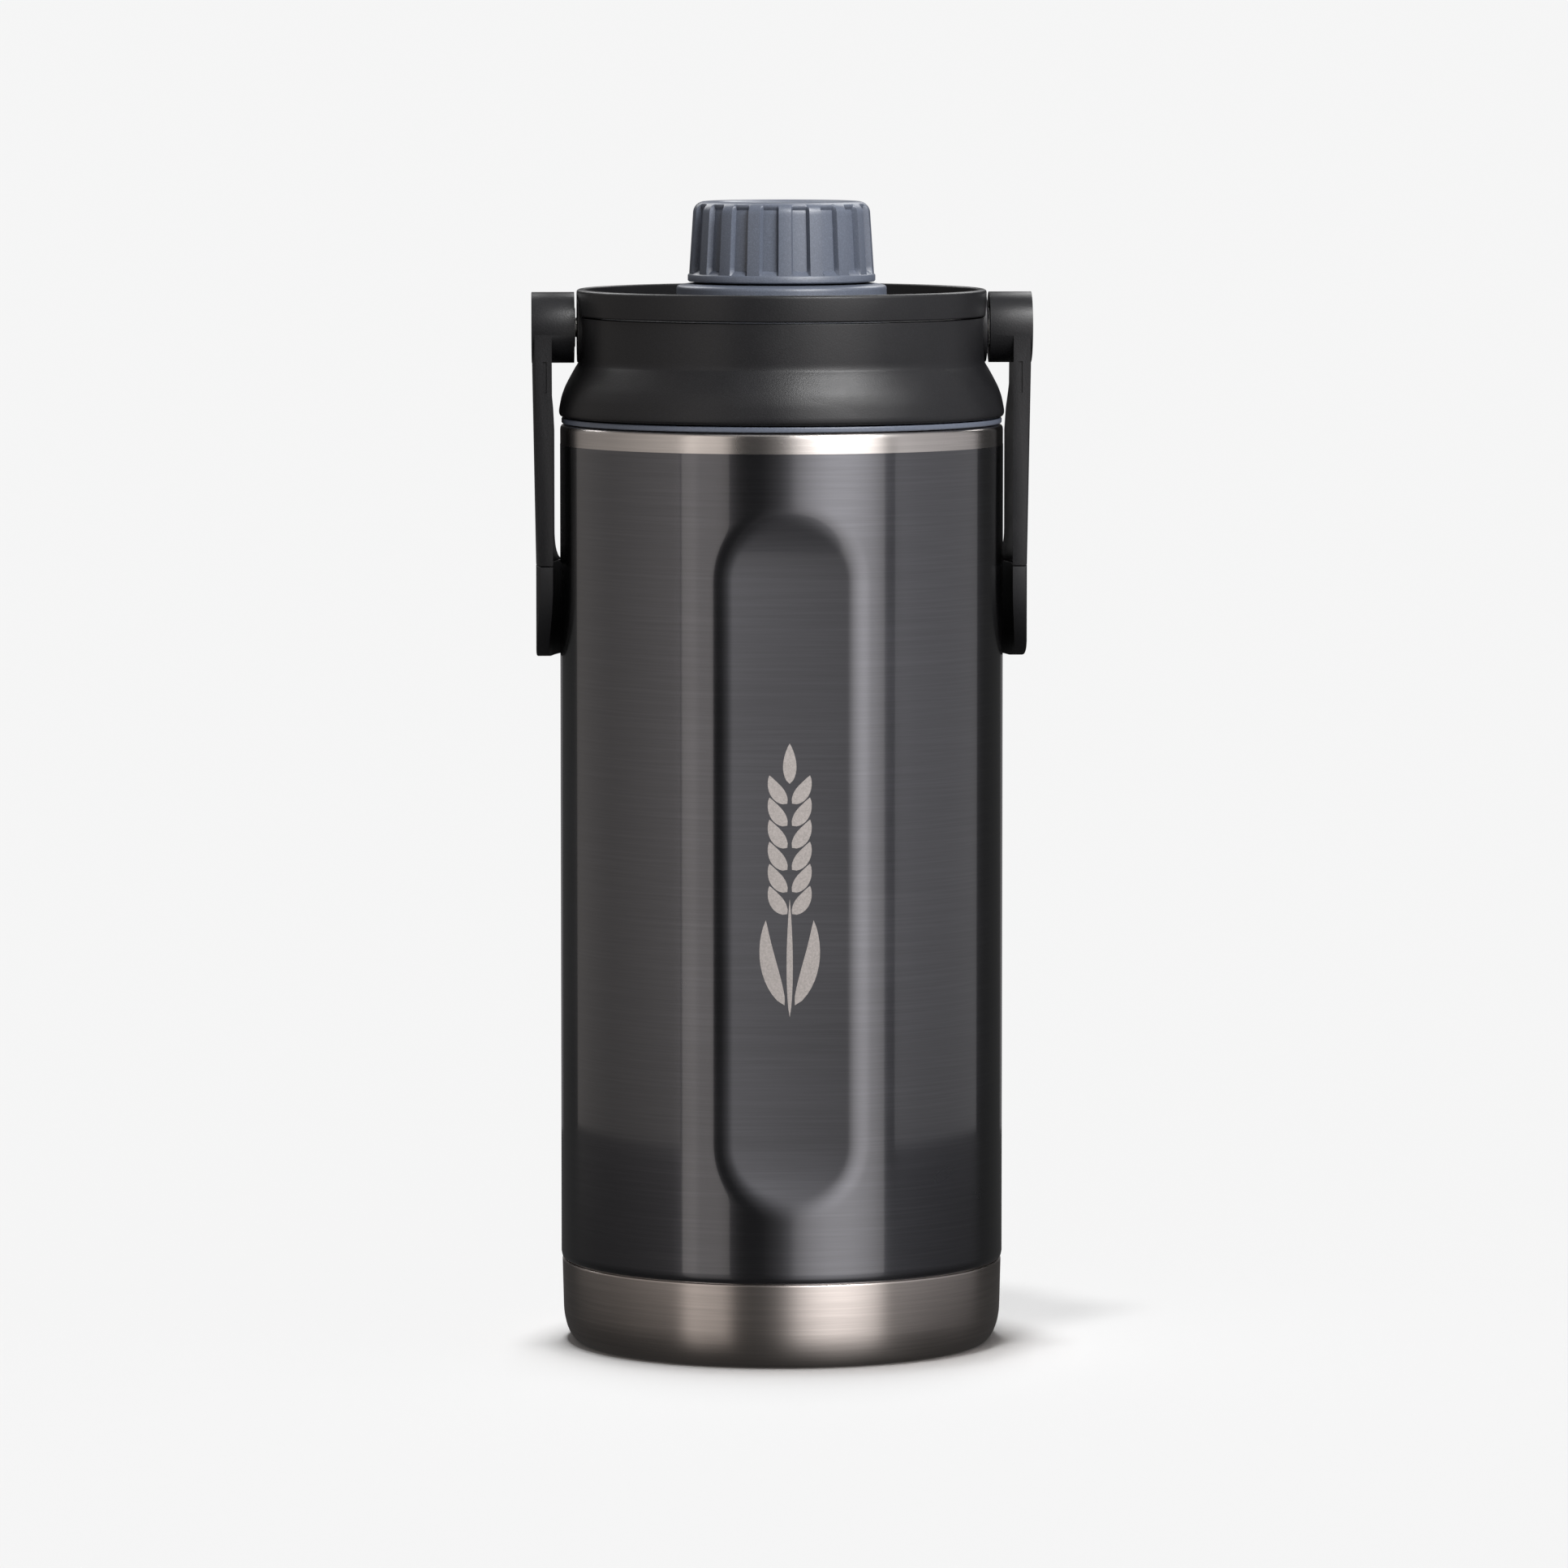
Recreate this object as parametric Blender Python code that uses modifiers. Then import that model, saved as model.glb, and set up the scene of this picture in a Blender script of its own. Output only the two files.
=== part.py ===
"""Half-gallon insulated growler with a screw lid, a twist cap and a swinging bail handle.

Metres, +Z up. The origin is the centre of the base, on the surface the growler stands on.
The front, with the pressed thumb recess, faces -Y; the handle's pins lie along X.
"""
import math

import bmesh
import bpy
from mathutils import Matrix

# Driving dimensions, metres
GAP = 0.0003             # clearance between pieces that touch
SHEET = 0.0008           # steel wall
ROUND_STEPS = 40         # steps of a large turned piece
SMALL_STEPS = 28         # steps of a small turned piece
PIN_STEPS = 20           # steps of a pin, a bore or the getter
BEAD_STEPS = 16

BODY_RADIUS = 0.0570
BASE_RADIUS = 0.05675
BASE_FOOT_RADIUS = 0.0519
BASE_CORNER_HEIGHT = 0.0100
BASE_BAND_TOP = 0.0219
SHOULDER_Z = 0.2373
MOUTH_RADIUS = 0.0428
NECK_RADIUS = 0.0448
RIM_Z = 0.2578
FLASK_RADIUS = 0.0512
FLASK_BOTTOM = 0.0090
FLASK_SHOULDER_Z = 0.2240
FLASK_CORNER = 0.0120
LAP_HEIGHT = 0.0050      # how far the base cup reaches up inside the outer shell
DISC_RADIUS = 0.0415     # disc over the evacuation hole
DISC_THICKNESS = 0.0012
SEAT_DEPTH = 0.0015      # recess under the base that takes the disc
SEAL_HOLE = 0.0010       # radius of the evacuation hole
GETTER_RADIUS = 0.0040
GETTER_Y = 0.0180

RECESS_FLOOR = 0.0541     # distance of the flat from the axis
RECESS_BOTTOM = 0.0409
RECESS_TOP = 0.2164
RECESS_RUN = 0.0165       # height over which each end curves out to the cylinder
RECESS_REACH = 0.0250     # half-length of the press tool across the body

LID_NECK_RADIUS = 0.0521
LID_FLANGE_RADIUS = 0.0566
LID_FLANGE_BOTTOM = SHOULDER_Z + GAP
LID_FLANGE_TOP = 0.2390
LINER_RADIUS = 0.0490
LINER_BORE = 0.0473
LINER_TOP = 0.2623
PLUG_RADIUS = 0.0420
PLUG_BOTTOM = 0.2453
PLUG_WALL = 0.0016
COLLAR_RADIUS = 0.0270
COLLAR_TOP = 0.2736
DISH_FLOOR = 0.2648
DISH_RADIUS = 0.0484
RING_RADIUS = 0.0527
RING_BOTTOM = 0.2633
RING_TOP = 0.2719
RING_WALL = 0.0021
RING_FLOOR = 0.0019
GASKET_RADII = (0.0430, 0.0469)
GASKET_HEIGHT = 0.0018
LID_LEAD = 0.0060        # rise of the lid for one turn
LID_THREAD_Z = 0.2440    # where the neck's thread starts
LID_THREAD_WIDTHS = (0.0030, 0.0012)

SPOUT_BORE = 0.0145
SPOUT_RADIUS = 0.0170
SPOUT_TOP = 0.2880
CAP_BOTTOM = 0.2739
CAP_TOP = 0.2944
CAP_FLANGE_RADIUS = 0.0241
CAP_FLANGE_HEIGHT = 0.0020
CAP_LOWER_RADIUS = 0.0238
CAP_UPPER_RADIUS = 0.0228
CAP_BORE = 0.0207
CAP_LINER_BORE = 0.0189
CAP_GROOVES = 18
CAP_GROOVE_WIDTH = 0.0041
CAP_GROOVE_DEPTH = 0.0011
CAP_ROOF = 0.0025
CAP_LINER_ROOF = 0.0015
CAP_SEAL_RADIUS = 0.0180
CAP_LEAD = 0.0040        # rise of the cap for one turn
CAP_THREAD_Z = 0.2790    # where the spout's thread starts
CAP_THREAD_WIDTHS = (0.0020, 0.0008)
THREAD_TURNS = 1.25

PIVOT_Z = 0.2621
BOSS_RADIUS = 0.0091
BOSS_INNER_X = 0.0533
BAIL_TOP_RADIUS = 0.0643
BAIL_LOW_RADIUS = 0.0632
BAIL_INNER_RADIUS = 0.0599
BAIL_FRONT = -0.0105     # front edge of the arms, from the pivot
BAIL_REAR = 0.0140       # rear edge of the lower arms
BAIL_NECK_HALF = 0.0091  # half width of the arms at the bosses
BAIL_SEAM = -0.0608      # where the grip starts, below the pivot
BAIL_BOTTOM = -0.0852
BAIL_CORNER = 0.0200     # radius of the front lower corners
BAIL_FILLET = 0.0080     # radius between arm and band
BAIL_REACH = 0.0750      # how far back the cutting outlines run
GRIP_CORE_RADII = (0.0608, 0.0621)
GRIP_SKIN = 0.0016       # thickness of the grip round the core's edges
GRIP_TENON = 0.0030      # how far the core runs up into the arms
PIN_RADIUS = 0.0025
PIN_SPAN = (0.0493, 0.0612)
PIN_BORE = 0.0028
BORE_START = 0.0500      # cutters for the bosses start this far from the middle
LUG_RADIUS = 0.0090
LUG_SPAN = (0.0510, 0.0526)
WASHER_RADIUS = 0.0050
WASHER_SPAN = (0.05305, 0.05395)

MATERIALS = {
    "graphite_coat": ((0.060, 0.060, 0.066), 0.30, 0.9),
    "brushed_steel": ((0.52, 0.49, 0.47), 0.33, 1.0),
    "inner_steel": ((0.62, 0.61, 0.60), 0.25, 1.0),
    "solder": ((0.45, 0.45, 0.46), 0.45, 1.0),
    "getter_alloy": ((0.25, 0.25, 0.26), 0.70, 0.8),
    "black_plastic": ((0.012, 0.012, 0.013), 0.55, 0.0),
    "black_grip": ((0.008, 0.008, 0.009), 0.70, 0.0),
    "slate_plastic": ((0.115, 0.125, 0.155), 0.45, 0.0),
    "silicone": ((0.55, 0.56, 0.58), 0.60, 0.0),
    "foam": ((0.80, 0.78, 0.70), 0.90, 0.0),
    "pin_steel": ((0.60, 0.58, 0.55), 0.25, 1.0),
    "acetal": ((0.75, 0.75, 0.73), 0.40, 0.0),
}


# Scene helpers

def clear_scene():
    for obj in list(bpy.data.objects):
        bpy.data.objects.remove(obj)


def new_collection(name):
    collection = bpy.data.collections.new(name)
    bpy.context.scene.collection.children.link(collection)
    return collection


def make_material(name):
    colour, roughness, metallic = MATERIALS[name]
    material = bpy.data.materials.new(name)
    material.use_nodes = True
    shader = material.node_tree.nodes["Principled BSDF"]
    shader.inputs["Base Color"].default_value = (*colour, 1.0)
    shader.inputs["Roughness"].default_value = roughness
    shader.inputs["Metallic"].default_value = metallic
    return material


def add_object(name, mesh, collection):
    obj = bpy.data.objects.new(name, mesh)
    collection.objects.link(obj)
    return obj


def as_tool(obj):
    """A cutter or guide: seen as wire, never rendered, not a piece."""
    obj.hide_render = True
    obj.display_type = "WIRE"
    return obj


def add_tool(name, mesh):
    return as_tool(add_object(name, mesh, tools))


def settle(obj):
    """Give an object the mesh that its modifiers make, cleaned and shaded."""
    bpy.context.view_layer.update()
    graph = bpy.context.evaluated_depsgraph_get()
    mesh = bpy.data.meshes.new_from_object(obj.evaluated_get(graph))
    work = bmesh.new()
    work.from_mesh(mesh)
    bmesh.ops.remove_doubles(work, verts=work.verts, dist=2e-6)
    bmesh.ops.dissolve_degenerate(work, edges=work.edges, dist=2e-6)
    work.to_mesh(mesh)
    work.free()
    mesh.shade_smooth()
    mesh.set_sharp_from_angle(angle=math.radians(35))
    obj.modifiers.clear()
    obj.data = mesh
    return obj


def combine(obj, tool, operation):
    modifier = obj.modifiers.new(f"{operation.lower()}_{tool.name}", "BOOLEAN")
    modifier.operation = operation
    modifier.object = tool
    modifier.solver = "EXACT"


def make_piece(obj, material, parent=None):
    """Settle an object and file it as a piece of the growler."""
    settle(obj)
    obj.data.materials.clear()
    obj.data.materials.append(material)
    obj.parent = parent
    return obj


# Shapes

def turned(name, profile, steps, collection, closed=True):
    """Turn an (r, z) profile about Z; it runs clockwise, down its outer side."""
    mesh = bpy.data.meshes.new(name)
    count = len(profile)
    edges = [(i, i + 1) for i in range(count - 1)]
    if closed:
        edges.append((count - 1, 0))
    mesh.from_pydata([(r, 0.0, z) for r, z in profile], edges, [])
    obj = add_object(name, mesh, collection)
    screw = obj.modifiers.new("turn", "SCREW")
    screw.axis = "Z"
    screw.angle = math.tau
    screw.steps = steps
    screw.render_steps = steps
    screw.use_merge_vertices = True
    screw.merge_threshold = 1e-6
    return obj


def arc(centre_r, centre_z, radius_r, radius_z, start_deg, end_deg, count):
    """Points of an elliptical arc in a profile, ends included."""
    points = []
    for i in range(count + 1):
        angle = math.radians(start_deg + (end_deg - start_deg) * i / count)
        points.append((centre_r + radius_r * math.cos(angle), centre_z + radius_z * math.sin(angle)))
    return points


def rod_mesh(name, radius, start_x, end_x, bevel=0.0, steps=SMALL_STEPS):
    """A rod along X, with both end rims rounded by bevel."""
    work = bmesh.new()
    turn = Matrix.Translation(((start_x + end_x) / 2, 0, 0)) @ Matrix.Rotation(math.pi / 2, 4, "Y")
    bmesh.ops.create_cone(work, cap_ends=True, segments=steps, radius1=radius, radius2=radius,
                          depth=abs(end_x - start_x), matrix=turn)
    if bevel:
        rims = [edge for edge in work.edges if len(edge.link_faces) == 2
                and max(len(face.verts) for face in edge.link_faces) > 4]
        bmesh.ops.bevel(work, geom=rims, offset=bevel, segments=2, profile=0.5, affect="EDGES")
    mesh = bpy.data.meshes.new(name)
    work.to_mesh(mesh)
    work.free()
    return mesh


def prism_mesh(name, outline, half_length):
    """Extrude a (y, z) outline along X, to both sides of the middle."""
    work = bmesh.new()
    face = work.faces.new([work.verts.new((-half_length, y, z)) for y, z in outline])
    moved = bmesh.ops.extrude_face_region(work, geom=[face])["geom"]
    corners = [item for item in moved if isinstance(item, bmesh.types.BMVert)]
    bmesh.ops.translate(work, verts=corners, vec=(2 * half_length, 0, 0))
    bmesh.ops.recalc_face_normals(work, faces=work.faces)
    mesh = bpy.data.meshes.new(name)
    work.to_mesh(mesh)
    work.free()
    return mesh


def ridge_tool(name, root, crest, lead, start_z, widths):
    """A right-handed helical ridge about Z, from radius root to radius crest."""
    base, top = widths
    section = ((root, -base / 2), (root, base / 2), (crest, top / 2), (crest, -top / 2))
    work = bmesh.new()
    face = work.faces.new([work.verts.new((r, 0, start_z + z)) for r, z in section])
    count = round(THREAD_TURNS * ROUND_STEPS)
    bmesh.ops.spin(work, geom=[face], cent=(0, 0, 0), axis=(0, 0, 1), dvec=(0, 0, lead / ROUND_STEPS),
                   angle=math.tau * THREAD_TURNS, steps=count, use_duplicate=False)
    bmesh.ops.recalc_face_normals(work, faces=work.faces)
    mesh = bpy.data.meshes.new(name)
    work.to_mesh(mesh)
    work.free()
    return add_tool(name, mesh)


# Vessel

def recess_tool(name, inset, side):
    """A press tool with a flat face and curved ends; side is -1 for the front, 1 for the back."""
    depth = BODY_RADIUS - RECESS_FLOOR
    bend = (RECESS_RUN ** 2 + depth ** 2) / (2 * depth)
    centre = RECESS_FLOOR + bend
    radius = bend + inset
    upper = arc(centre, RECESS_TOP - RECESS_RUN, radius, radius, 152, 180, 8)
    lower = arc(centre, RECESS_BOTTOM + RECESS_RUN, radius, radius, 180, 208, 8)
    outline = [(side * y, z) for y, z in upper + lower]
    return add_tool(name, prism_mesh(name, outline, RECESS_REACH))


def make_outer_shell():
    neck_top = RIM_Z - 0.0013
    wall = BODY_RADIUS - SHEET
    outside = [(0, neck_top), (NECK_RADIUS, neck_top), (NECK_RADIUS, SHOULDER_Z + 0.0014),
               (NECK_RADIUS + 0.0014, SHOULDER_Z), (BODY_RADIUS - 0.0014, SHOULDER_Z),
               (BODY_RADIUS - 0.0004, SHOULDER_Z - 0.0005), (BODY_RADIUS, SHOULDER_Z - 0.0015),
               (BODY_RADIUS, BASE_BAND_TOP + 0.0015), (BODY_RADIUS - 0.0004, BASE_BAND_TOP),
               (0, BASE_BAND_TOP)]
    inside = [(0, RIM_Z), (NECK_RADIUS - SHEET, RIM_Z), (NECK_RADIUS - SHEET, SHOULDER_Z + 0.0010),
              (NECK_RADIUS + 0.0010, SHOULDER_Z - SHEET), (wall - 0.0010, SHOULDER_Z - SHEET),
              (wall, SHOULDER_Z - SHEET - 0.0010), (wall, BASE_BAND_TOP - LAP_HEIGHT),
              (0, BASE_BAND_TOP - LAP_HEIGHT)]
    hollow = as_tool(turned("shell_hollow", inside, ROUND_STEPS, tools, closed=False))
    shell = turned("outer_shell", outside, ROUND_STEPS, parts, closed=False)
    for label, side in (("front", -1), ("back", 1)):
        combine(hollow, recess_tool(f"hollow_recess_{label}", SHEET, side), "DIFFERENCE")
        combine(shell, recess_tool(f"recess_{label}", 0.0, side), "DIFFERENCE")
    combine(shell, hollow, "DIFFERENCE")
    thread = ridge_tool("neck_thread", NECK_RADIUS - 0.0004, NECK_RADIUS + 0.0018, LID_LEAD, LID_THREAD_Z,
                        LID_THREAD_WIDTHS)
    combine(shell, thread, "UNION")
    return make_piece(shell, paint["graphite_coat"])


def make_base_cup():
    lap_radius = BODY_RADIUS - SHEET - GAP
    lap_top = BASE_BAND_TOP + LAP_HEIGHT
    band_top = BASE_BAND_TOP - GAP
    foot = BASE_RADIUS - 0.0003 - BASE_FOOT_RADIUS
    corner = arc(BASE_FOOT_RADIUS, BASE_CORNER_HEIGHT, foot, BASE_CORNER_HEIGHT, 0, -90, 4)
    inner_height = BASE_CORNER_HEIGHT - SHEET
    inner_corner = arc(BASE_FOOT_RADIUS, BASE_CORNER_HEIGHT, foot - SHEET, inner_height, -90, 0, 2)
    seat = DISC_RADIUS + 0.0005
    well = SEAT_DEPTH * 2
    profile = [(lap_radius, lap_top), (lap_radius, band_top), (BASE_RADIUS - 0.0004, band_top),
               (BASE_RADIUS, band_top - 0.0004)] + corner
    profile += [(seat + 0.0004, 0.0), (seat, SEAT_DEPTH), (0.0050, SEAT_DEPTH), (0.0040, well),
                (SEAL_HOLE, well), (SEAL_HOLE, well + SHEET), (0.0044, well + SHEET),
                (0.0054, SEAT_DEPTH + SHEET), (seat + 0.0004, SEAT_DEPTH + SHEET)]
    profile += inner_corner
    profile += [(BASE_RADIUS - SHEET, band_top - 0.0012), (lap_radius - SHEET, band_top + 0.0002),
                (lap_radius - SHEET, lap_top)]
    return make_piece(turned("base_cup", profile, ROUND_STEPS, parts), paint["brushed_steel"])


def make_inner_flask():
    neck = MOUTH_RADIUS + SHEET
    corner = FLASK_CORNER
    bore = FLASK_RADIUS - SHEET
    inside = [(0, FLASK_BOTTOM + SHEET)]
    inside += arc(bore - corner, FLASK_BOTTOM + SHEET + corner, corner, corner, -90, 0, 4)
    inside += [(bore, FLASK_SHOULDER_Z - 0.0003), (MOUTH_RADIUS + 0.0016, 0.2350), (MOUTH_RADIUS, 0.2385)]
    lip = [(MOUTH_RADIUS, RIM_Z - 0.0003), (MOUTH_RADIUS + 0.0003, RIM_Z), (NECK_RADIUS, RIM_Z),
           (NECK_RADIUS + 0.0002, RIM_Z - 0.0010), (neck, RIM_Z - 0.0010)]
    outside = [(neck, 0.2387), (neck + 0.0016, 0.2354), (FLASK_RADIUS, FLASK_SHOULDER_Z)]
    outside += arc(FLASK_RADIUS - corner, FLASK_BOTTOM + corner, corner, corner, 0, -90, 4)
    outside += [(0, FLASK_BOTTOM)]
    profile = inside + lip + outside
    return make_piece(turned("inner_flask", profile, ROUND_STEPS, parts, closed=False), paint["inner_steel"])


def make_base_disc():
    disc = [(0, DISC_THICKNESS), (DISC_RADIUS, DISC_THICKNESS), (DISC_RADIUS, 0.0003),
            (DISC_RADIUS - 0.0003, 0.0), (0, 0.0)]
    make_piece(turned("base_disc", disc, ROUND_STEPS, parts, closed=False), paint["brushed_steel"])


def make_vacuum_seal():
    """A bead of solder with a stem in the evacuation hole."""
    stem = SEAL_HOLE - 0.0004
    neck_z = SEAT_DEPTH * 2 - GAP
    stem_top = SEAT_DEPTH * 2 + SHEET + 0.0005
    bead = [(0, stem_top), (stem, stem_top), (stem, neck_z), (stem * 4, neck_z),
            (stem * 4 - 0.0002, neck_z - 0.0006), (0, neck_z - 0.0009)]
    make_piece(turned("vacuum_seal", bead, BEAD_STEPS, parts, closed=False), paint["solder"])


def make_getter():
    low = SEAT_DEPTH + SHEET + GAP
    high = low + 0.0028
    edge = GETTER_RADIUS
    pellet = [(0, high), (edge - 0.0004, high), (edge, high - 0.0004), (edge, low), (0, low)]
    getter = turned("getter", pellet, PIN_STEPS, parts, closed=False)
    getter.location.y = GETTER_Y
    make_piece(getter, paint["getter_alloy"])


# Lid

def make_lid_gasket(parent):
    low = RIM_Z + GAP
    high = low + GASKET_HEIGHT
    inner, outer = GASKET_RADII
    profile = [(inner, high), (outer - 0.0004, high), (outer, high - 0.0004), (outer, low), (inner, low)]
    make_piece(turned("lid_gasket", profile, ROUND_STEPS, parts), paint["silicone"], parent)


def make_inner_lid(parent):
    plug_bore = PLUG_RADIUS - PLUG_WALL
    ceiling = RIM_Z + GASKET_HEIGHT + 2 * GAP
    collar_foot = LINER_TOP + 0.0007
    collar_bore = COLLAR_RADIUS - 0.0016
    profile = [(SPOUT_RADIUS - 0.0004, SPOUT_TOP), (SPOUT_RADIUS, SPOUT_TOP - 0.0004),
               (SPOUT_RADIUS, COLLAR_TOP), (COLLAR_RADIUS - 0.0030, COLLAR_TOP - 0.0002),
               (COLLAR_RADIUS - 0.0004, COLLAR_TOP - 0.0007), (COLLAR_RADIUS, COLLAR_TOP - 0.0012),
               (COLLAR_RADIUS, collar_foot), (collar_bore, collar_foot),
               (collar_bore, COLLAR_TOP - 0.0020), (SPOUT_RADIUS, COLLAR_TOP - 0.0020),
               (SPOUT_RADIUS, PLUG_BOTTOM + PLUG_WALL), (plug_bore, PLUG_BOTTOM + PLUG_WALL),
               (plug_bore, LINER_TOP), (LINER_RADIUS, LINER_TOP), (LINER_RADIUS, LID_FLANGE_TOP),
               (LID_FLANGE_RADIUS - 0.0002, LID_FLANGE_TOP), (LID_FLANGE_RADIUS, LID_FLANGE_TOP - 0.0003),
               (LID_FLANGE_RADIUS, LID_FLANGE_BOTTOM + 0.0003),
               (LID_FLANGE_RADIUS - 0.0002, LID_FLANGE_BOTTOM),
               (LINER_BORE, LID_FLANGE_BOTTOM), (LINER_BORE, ceiling), (PLUG_RADIUS, ceiling),
               (PLUG_RADIUS, PLUG_BOTTOM), (SPOUT_BORE, PLUG_BOTTOM), (SPOUT_BORE, SPOUT_TOP)]
    liner = turned("inner_lid", profile, ROUND_STEPS, parts)
    lid_thread = ridge_tool("lid_thread", LINER_BORE + 0.0006, LINER_BORE - 0.0015, LID_LEAD,
                            LID_THREAD_Z + LID_LEAD / 2 + 0.0002, LID_THREAD_WIDTHS)
    spout_thread = ridge_tool("spout_thread", SPOUT_RADIUS - 0.0006, SPOUT_RADIUS + 0.0012, CAP_LEAD,
                              CAP_THREAD_Z, CAP_THREAD_WIDTHS)
    combine(liner, lid_thread, "UNION")
    combine(liner, spout_thread, "UNION")
    make_piece(liner, paint["slate_plastic"], parent)


def make_lid_insulation(parent):
    inner = SPOUT_RADIUS + 0.0005
    outer = PLUG_RADIUS - PLUG_WALL - 0.0004
    step = COLLAR_RADIUS - 0.0021
    low = PLUG_BOTTOM + PLUG_WALL + 0.0004
    middle = LINER_TOP - 0.0001
    high = COLLAR_TOP - 0.0024
    profile = [(inner, high), (step, high), (step, middle), (outer, middle), (outer, low), (inner, low)]
    make_piece(turned("lid_insulation", profile, SMALL_STEPS, parts), paint["foam"], parent)


def pivot_tools(name, radius, span):
    """Equal cutters along the pivot axis, one on each side."""
    pair = []
    for label, side in (("left", -1), ("right", 1)):
        tool = add_tool(f"{name}_{label}", rod_mesh(name, radius, side * span[0], side * span[1]))
        tool.location.z = PIVOT_Z
        pair.append(tool)
    return pair


def make_lid_shell(parent, pin_bores):
    plate_bottom = LINER_TOP + 0.0004
    hole = COLLAR_RADIUS + 0.0004
    seat = RING_BOTTOM - GAP
    outside = [(hole, DISH_FLOOR), (DISH_RADIUS, DISH_FLOOR), (DISH_RADIUS, seat), (LID_NECK_RADIUS, seat),
               (LID_NECK_RADIUS, 0.2533), (0.0530, 0.2519), (0.0544, 0.2494), (0.0557, 0.2469),
               (0.0566, 0.2444), (0.0571, 0.2419), (0.0573, 0.2406), (0.0571, 0.2397), (0.0566, 0.2393)]
    inside = [(0.0554, 0.2393), (0.0553, 0.2419), (0.0546, 0.2446), (0.0534, 0.2474), (0.0518, 0.2502),
              (0.0496, 0.2530), (0.0496, plate_bottom), (hole, plate_bottom)]
    shell = turned("lid_shell", outside + inside, ROUND_STEPS, parts)
    pockets = pivot_tools("lug_pocket", LUG_RADIUS + 0.0004, (LUG_SPAN[0] - GAP, BAIL_TOP_RADIUS))
    for tool in pockets + pin_bores:
        combine(shell, tool, "DIFFERENCE")
    make_piece(shell, paint["black_plastic"], parent)


def make_handle_ring(parent, pin_bores):
    inner = RING_RADIUS - RING_WALL
    foot = DISH_RADIUS + 0.0004
    profile = [(inner + 0.0003, RING_TOP), (RING_RADIUS - 0.0007, RING_TOP),
               (RING_RADIUS, RING_TOP - 0.0007), (RING_RADIUS, RING_BOTTOM + 0.0006),
               (RING_RADIUS - 0.0004, RING_BOTTOM), (foot, RING_BOTTOM),
               (foot, RING_BOTTOM + RING_FLOOR), (inner, RING_BOTTOM + RING_FLOOR),
               (inner, RING_TOP - 0.0003)]
    ring = turned("handle_ring", profile, ROUND_STEPS, parts)
    for tool in pivot_tools("lug", LUG_RADIUS, LUG_SPAN):
        combine(ring, tool, "UNION")
    for tool in pin_bores:
        combine(ring, tool, "DIFFERENCE")
    make_piece(ring, paint["black_plastic"], parent)


# Twist cap

def make_cap_shell(parent):
    flange_top = CAP_BOTTOM + CAP_FLANGE_HEIGHT
    corner = 0.0030
    outside = [(0, CAP_TOP), (CAP_UPPER_RADIUS - corner, CAP_TOP)]
    outside += arc(CAP_UPPER_RADIUS - corner, CAP_TOP - corner, corner, corner, 60, 0, 2)
    outside += [(CAP_LOWER_RADIUS, flange_top), (CAP_FLANGE_RADIUS, flange_top - 0.0003),
                (CAP_FLANGE_RADIUS, CAP_BOTTOM)]
    roof = CAP_TOP - CAP_ROOF
    inside = [(CAP_BORE, CAP_BOTTOM), (CAP_BORE, roof), (0, roof)]
    cap = turned("cap_shell", outside + inside, CAP_GROOVES * 2, parts, closed=False)
    low = CAP_BOTTOM + CAP_FLANGE_HEIGHT + 0.0002
    high = CAP_TOP - 0.0011
    lean = math.atan2(CAP_LOWER_RADIUS - CAP_UPPER_RADIUS, CAP_TOP - flange_top)
    middle_radius = (CAP_LOWER_RADIUS + CAP_UPPER_RADIUS) / 2 - CAP_GROOVE_DEPTH
    work = bmesh.new()
    for i in range(CAP_GROOVES):
        turn = Matrix.Rotation(math.tau * (i + 0.5) / CAP_GROOVES - math.pi / 2, 4, "Z")
        place = Matrix.Translation((middle_radius, 0, (low + high) / 2)) @ Matrix.Rotation(-lean, 4, "Y")
        size = Matrix.Diagonal((0.0060, CAP_GROOVE_WIDTH, high - low, 1.0))
        outward = Matrix.Translation((0.0030, 0, 0))
        bmesh.ops.create_cube(work, size=1.0, matrix=turn @ place @ outward @ size)
    mesh = bpy.data.meshes.new("cap_grooves")
    work.to_mesh(mesh)
    work.free()
    combine(cap, add_tool("cap_grooves", mesh), "DIFFERENCE")
    make_piece(cap, paint["slate_plastic"], parent)


def make_cap_liner(parent):
    outer = CAP_BORE - GAP
    top = CAP_TOP - CAP_ROOF - GAP
    ceiling = top - CAP_LINER_ROOF
    profile = [(0, top), (outer, top), (outer, CAP_BOTTOM + GAP), (CAP_LINER_BORE, CAP_BOTTOM + GAP),
               (CAP_LINER_BORE, ceiling), (0, ceiling)]
    liner = turned("cap_liner", profile, ROUND_STEPS, parts, closed=False)
    thread = ridge_tool("cap_thread", CAP_LINER_BORE + 0.0006, CAP_LINER_BORE - 0.0012, CAP_LEAD,
                        CAP_THREAD_Z + CAP_LEAD / 2 + 0.0001, CAP_THREAD_WIDTHS)
    combine(liner, thread, "UNION")
    make_piece(liner, paint["slate_plastic"], parent)


def make_cap_seal(parent):
    high = CAP_TOP - CAP_ROOF - CAP_LINER_ROOF - 2 * GAP
    low = SPOUT_TOP + GAP
    edge = CAP_SEAL_RADIUS
    profile = [(0, high), (edge - 0.0004, high), (edge, high - 0.0004), (edge, low + 0.0004),
               (edge - 0.0004, low), (0, low)]
    make_piece(turned("cap_seal", profile, SMALL_STEPS, parts, closed=False), paint["silicone"], parent)


# Bail handle; outlines are (y, z) from the pivot

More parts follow.
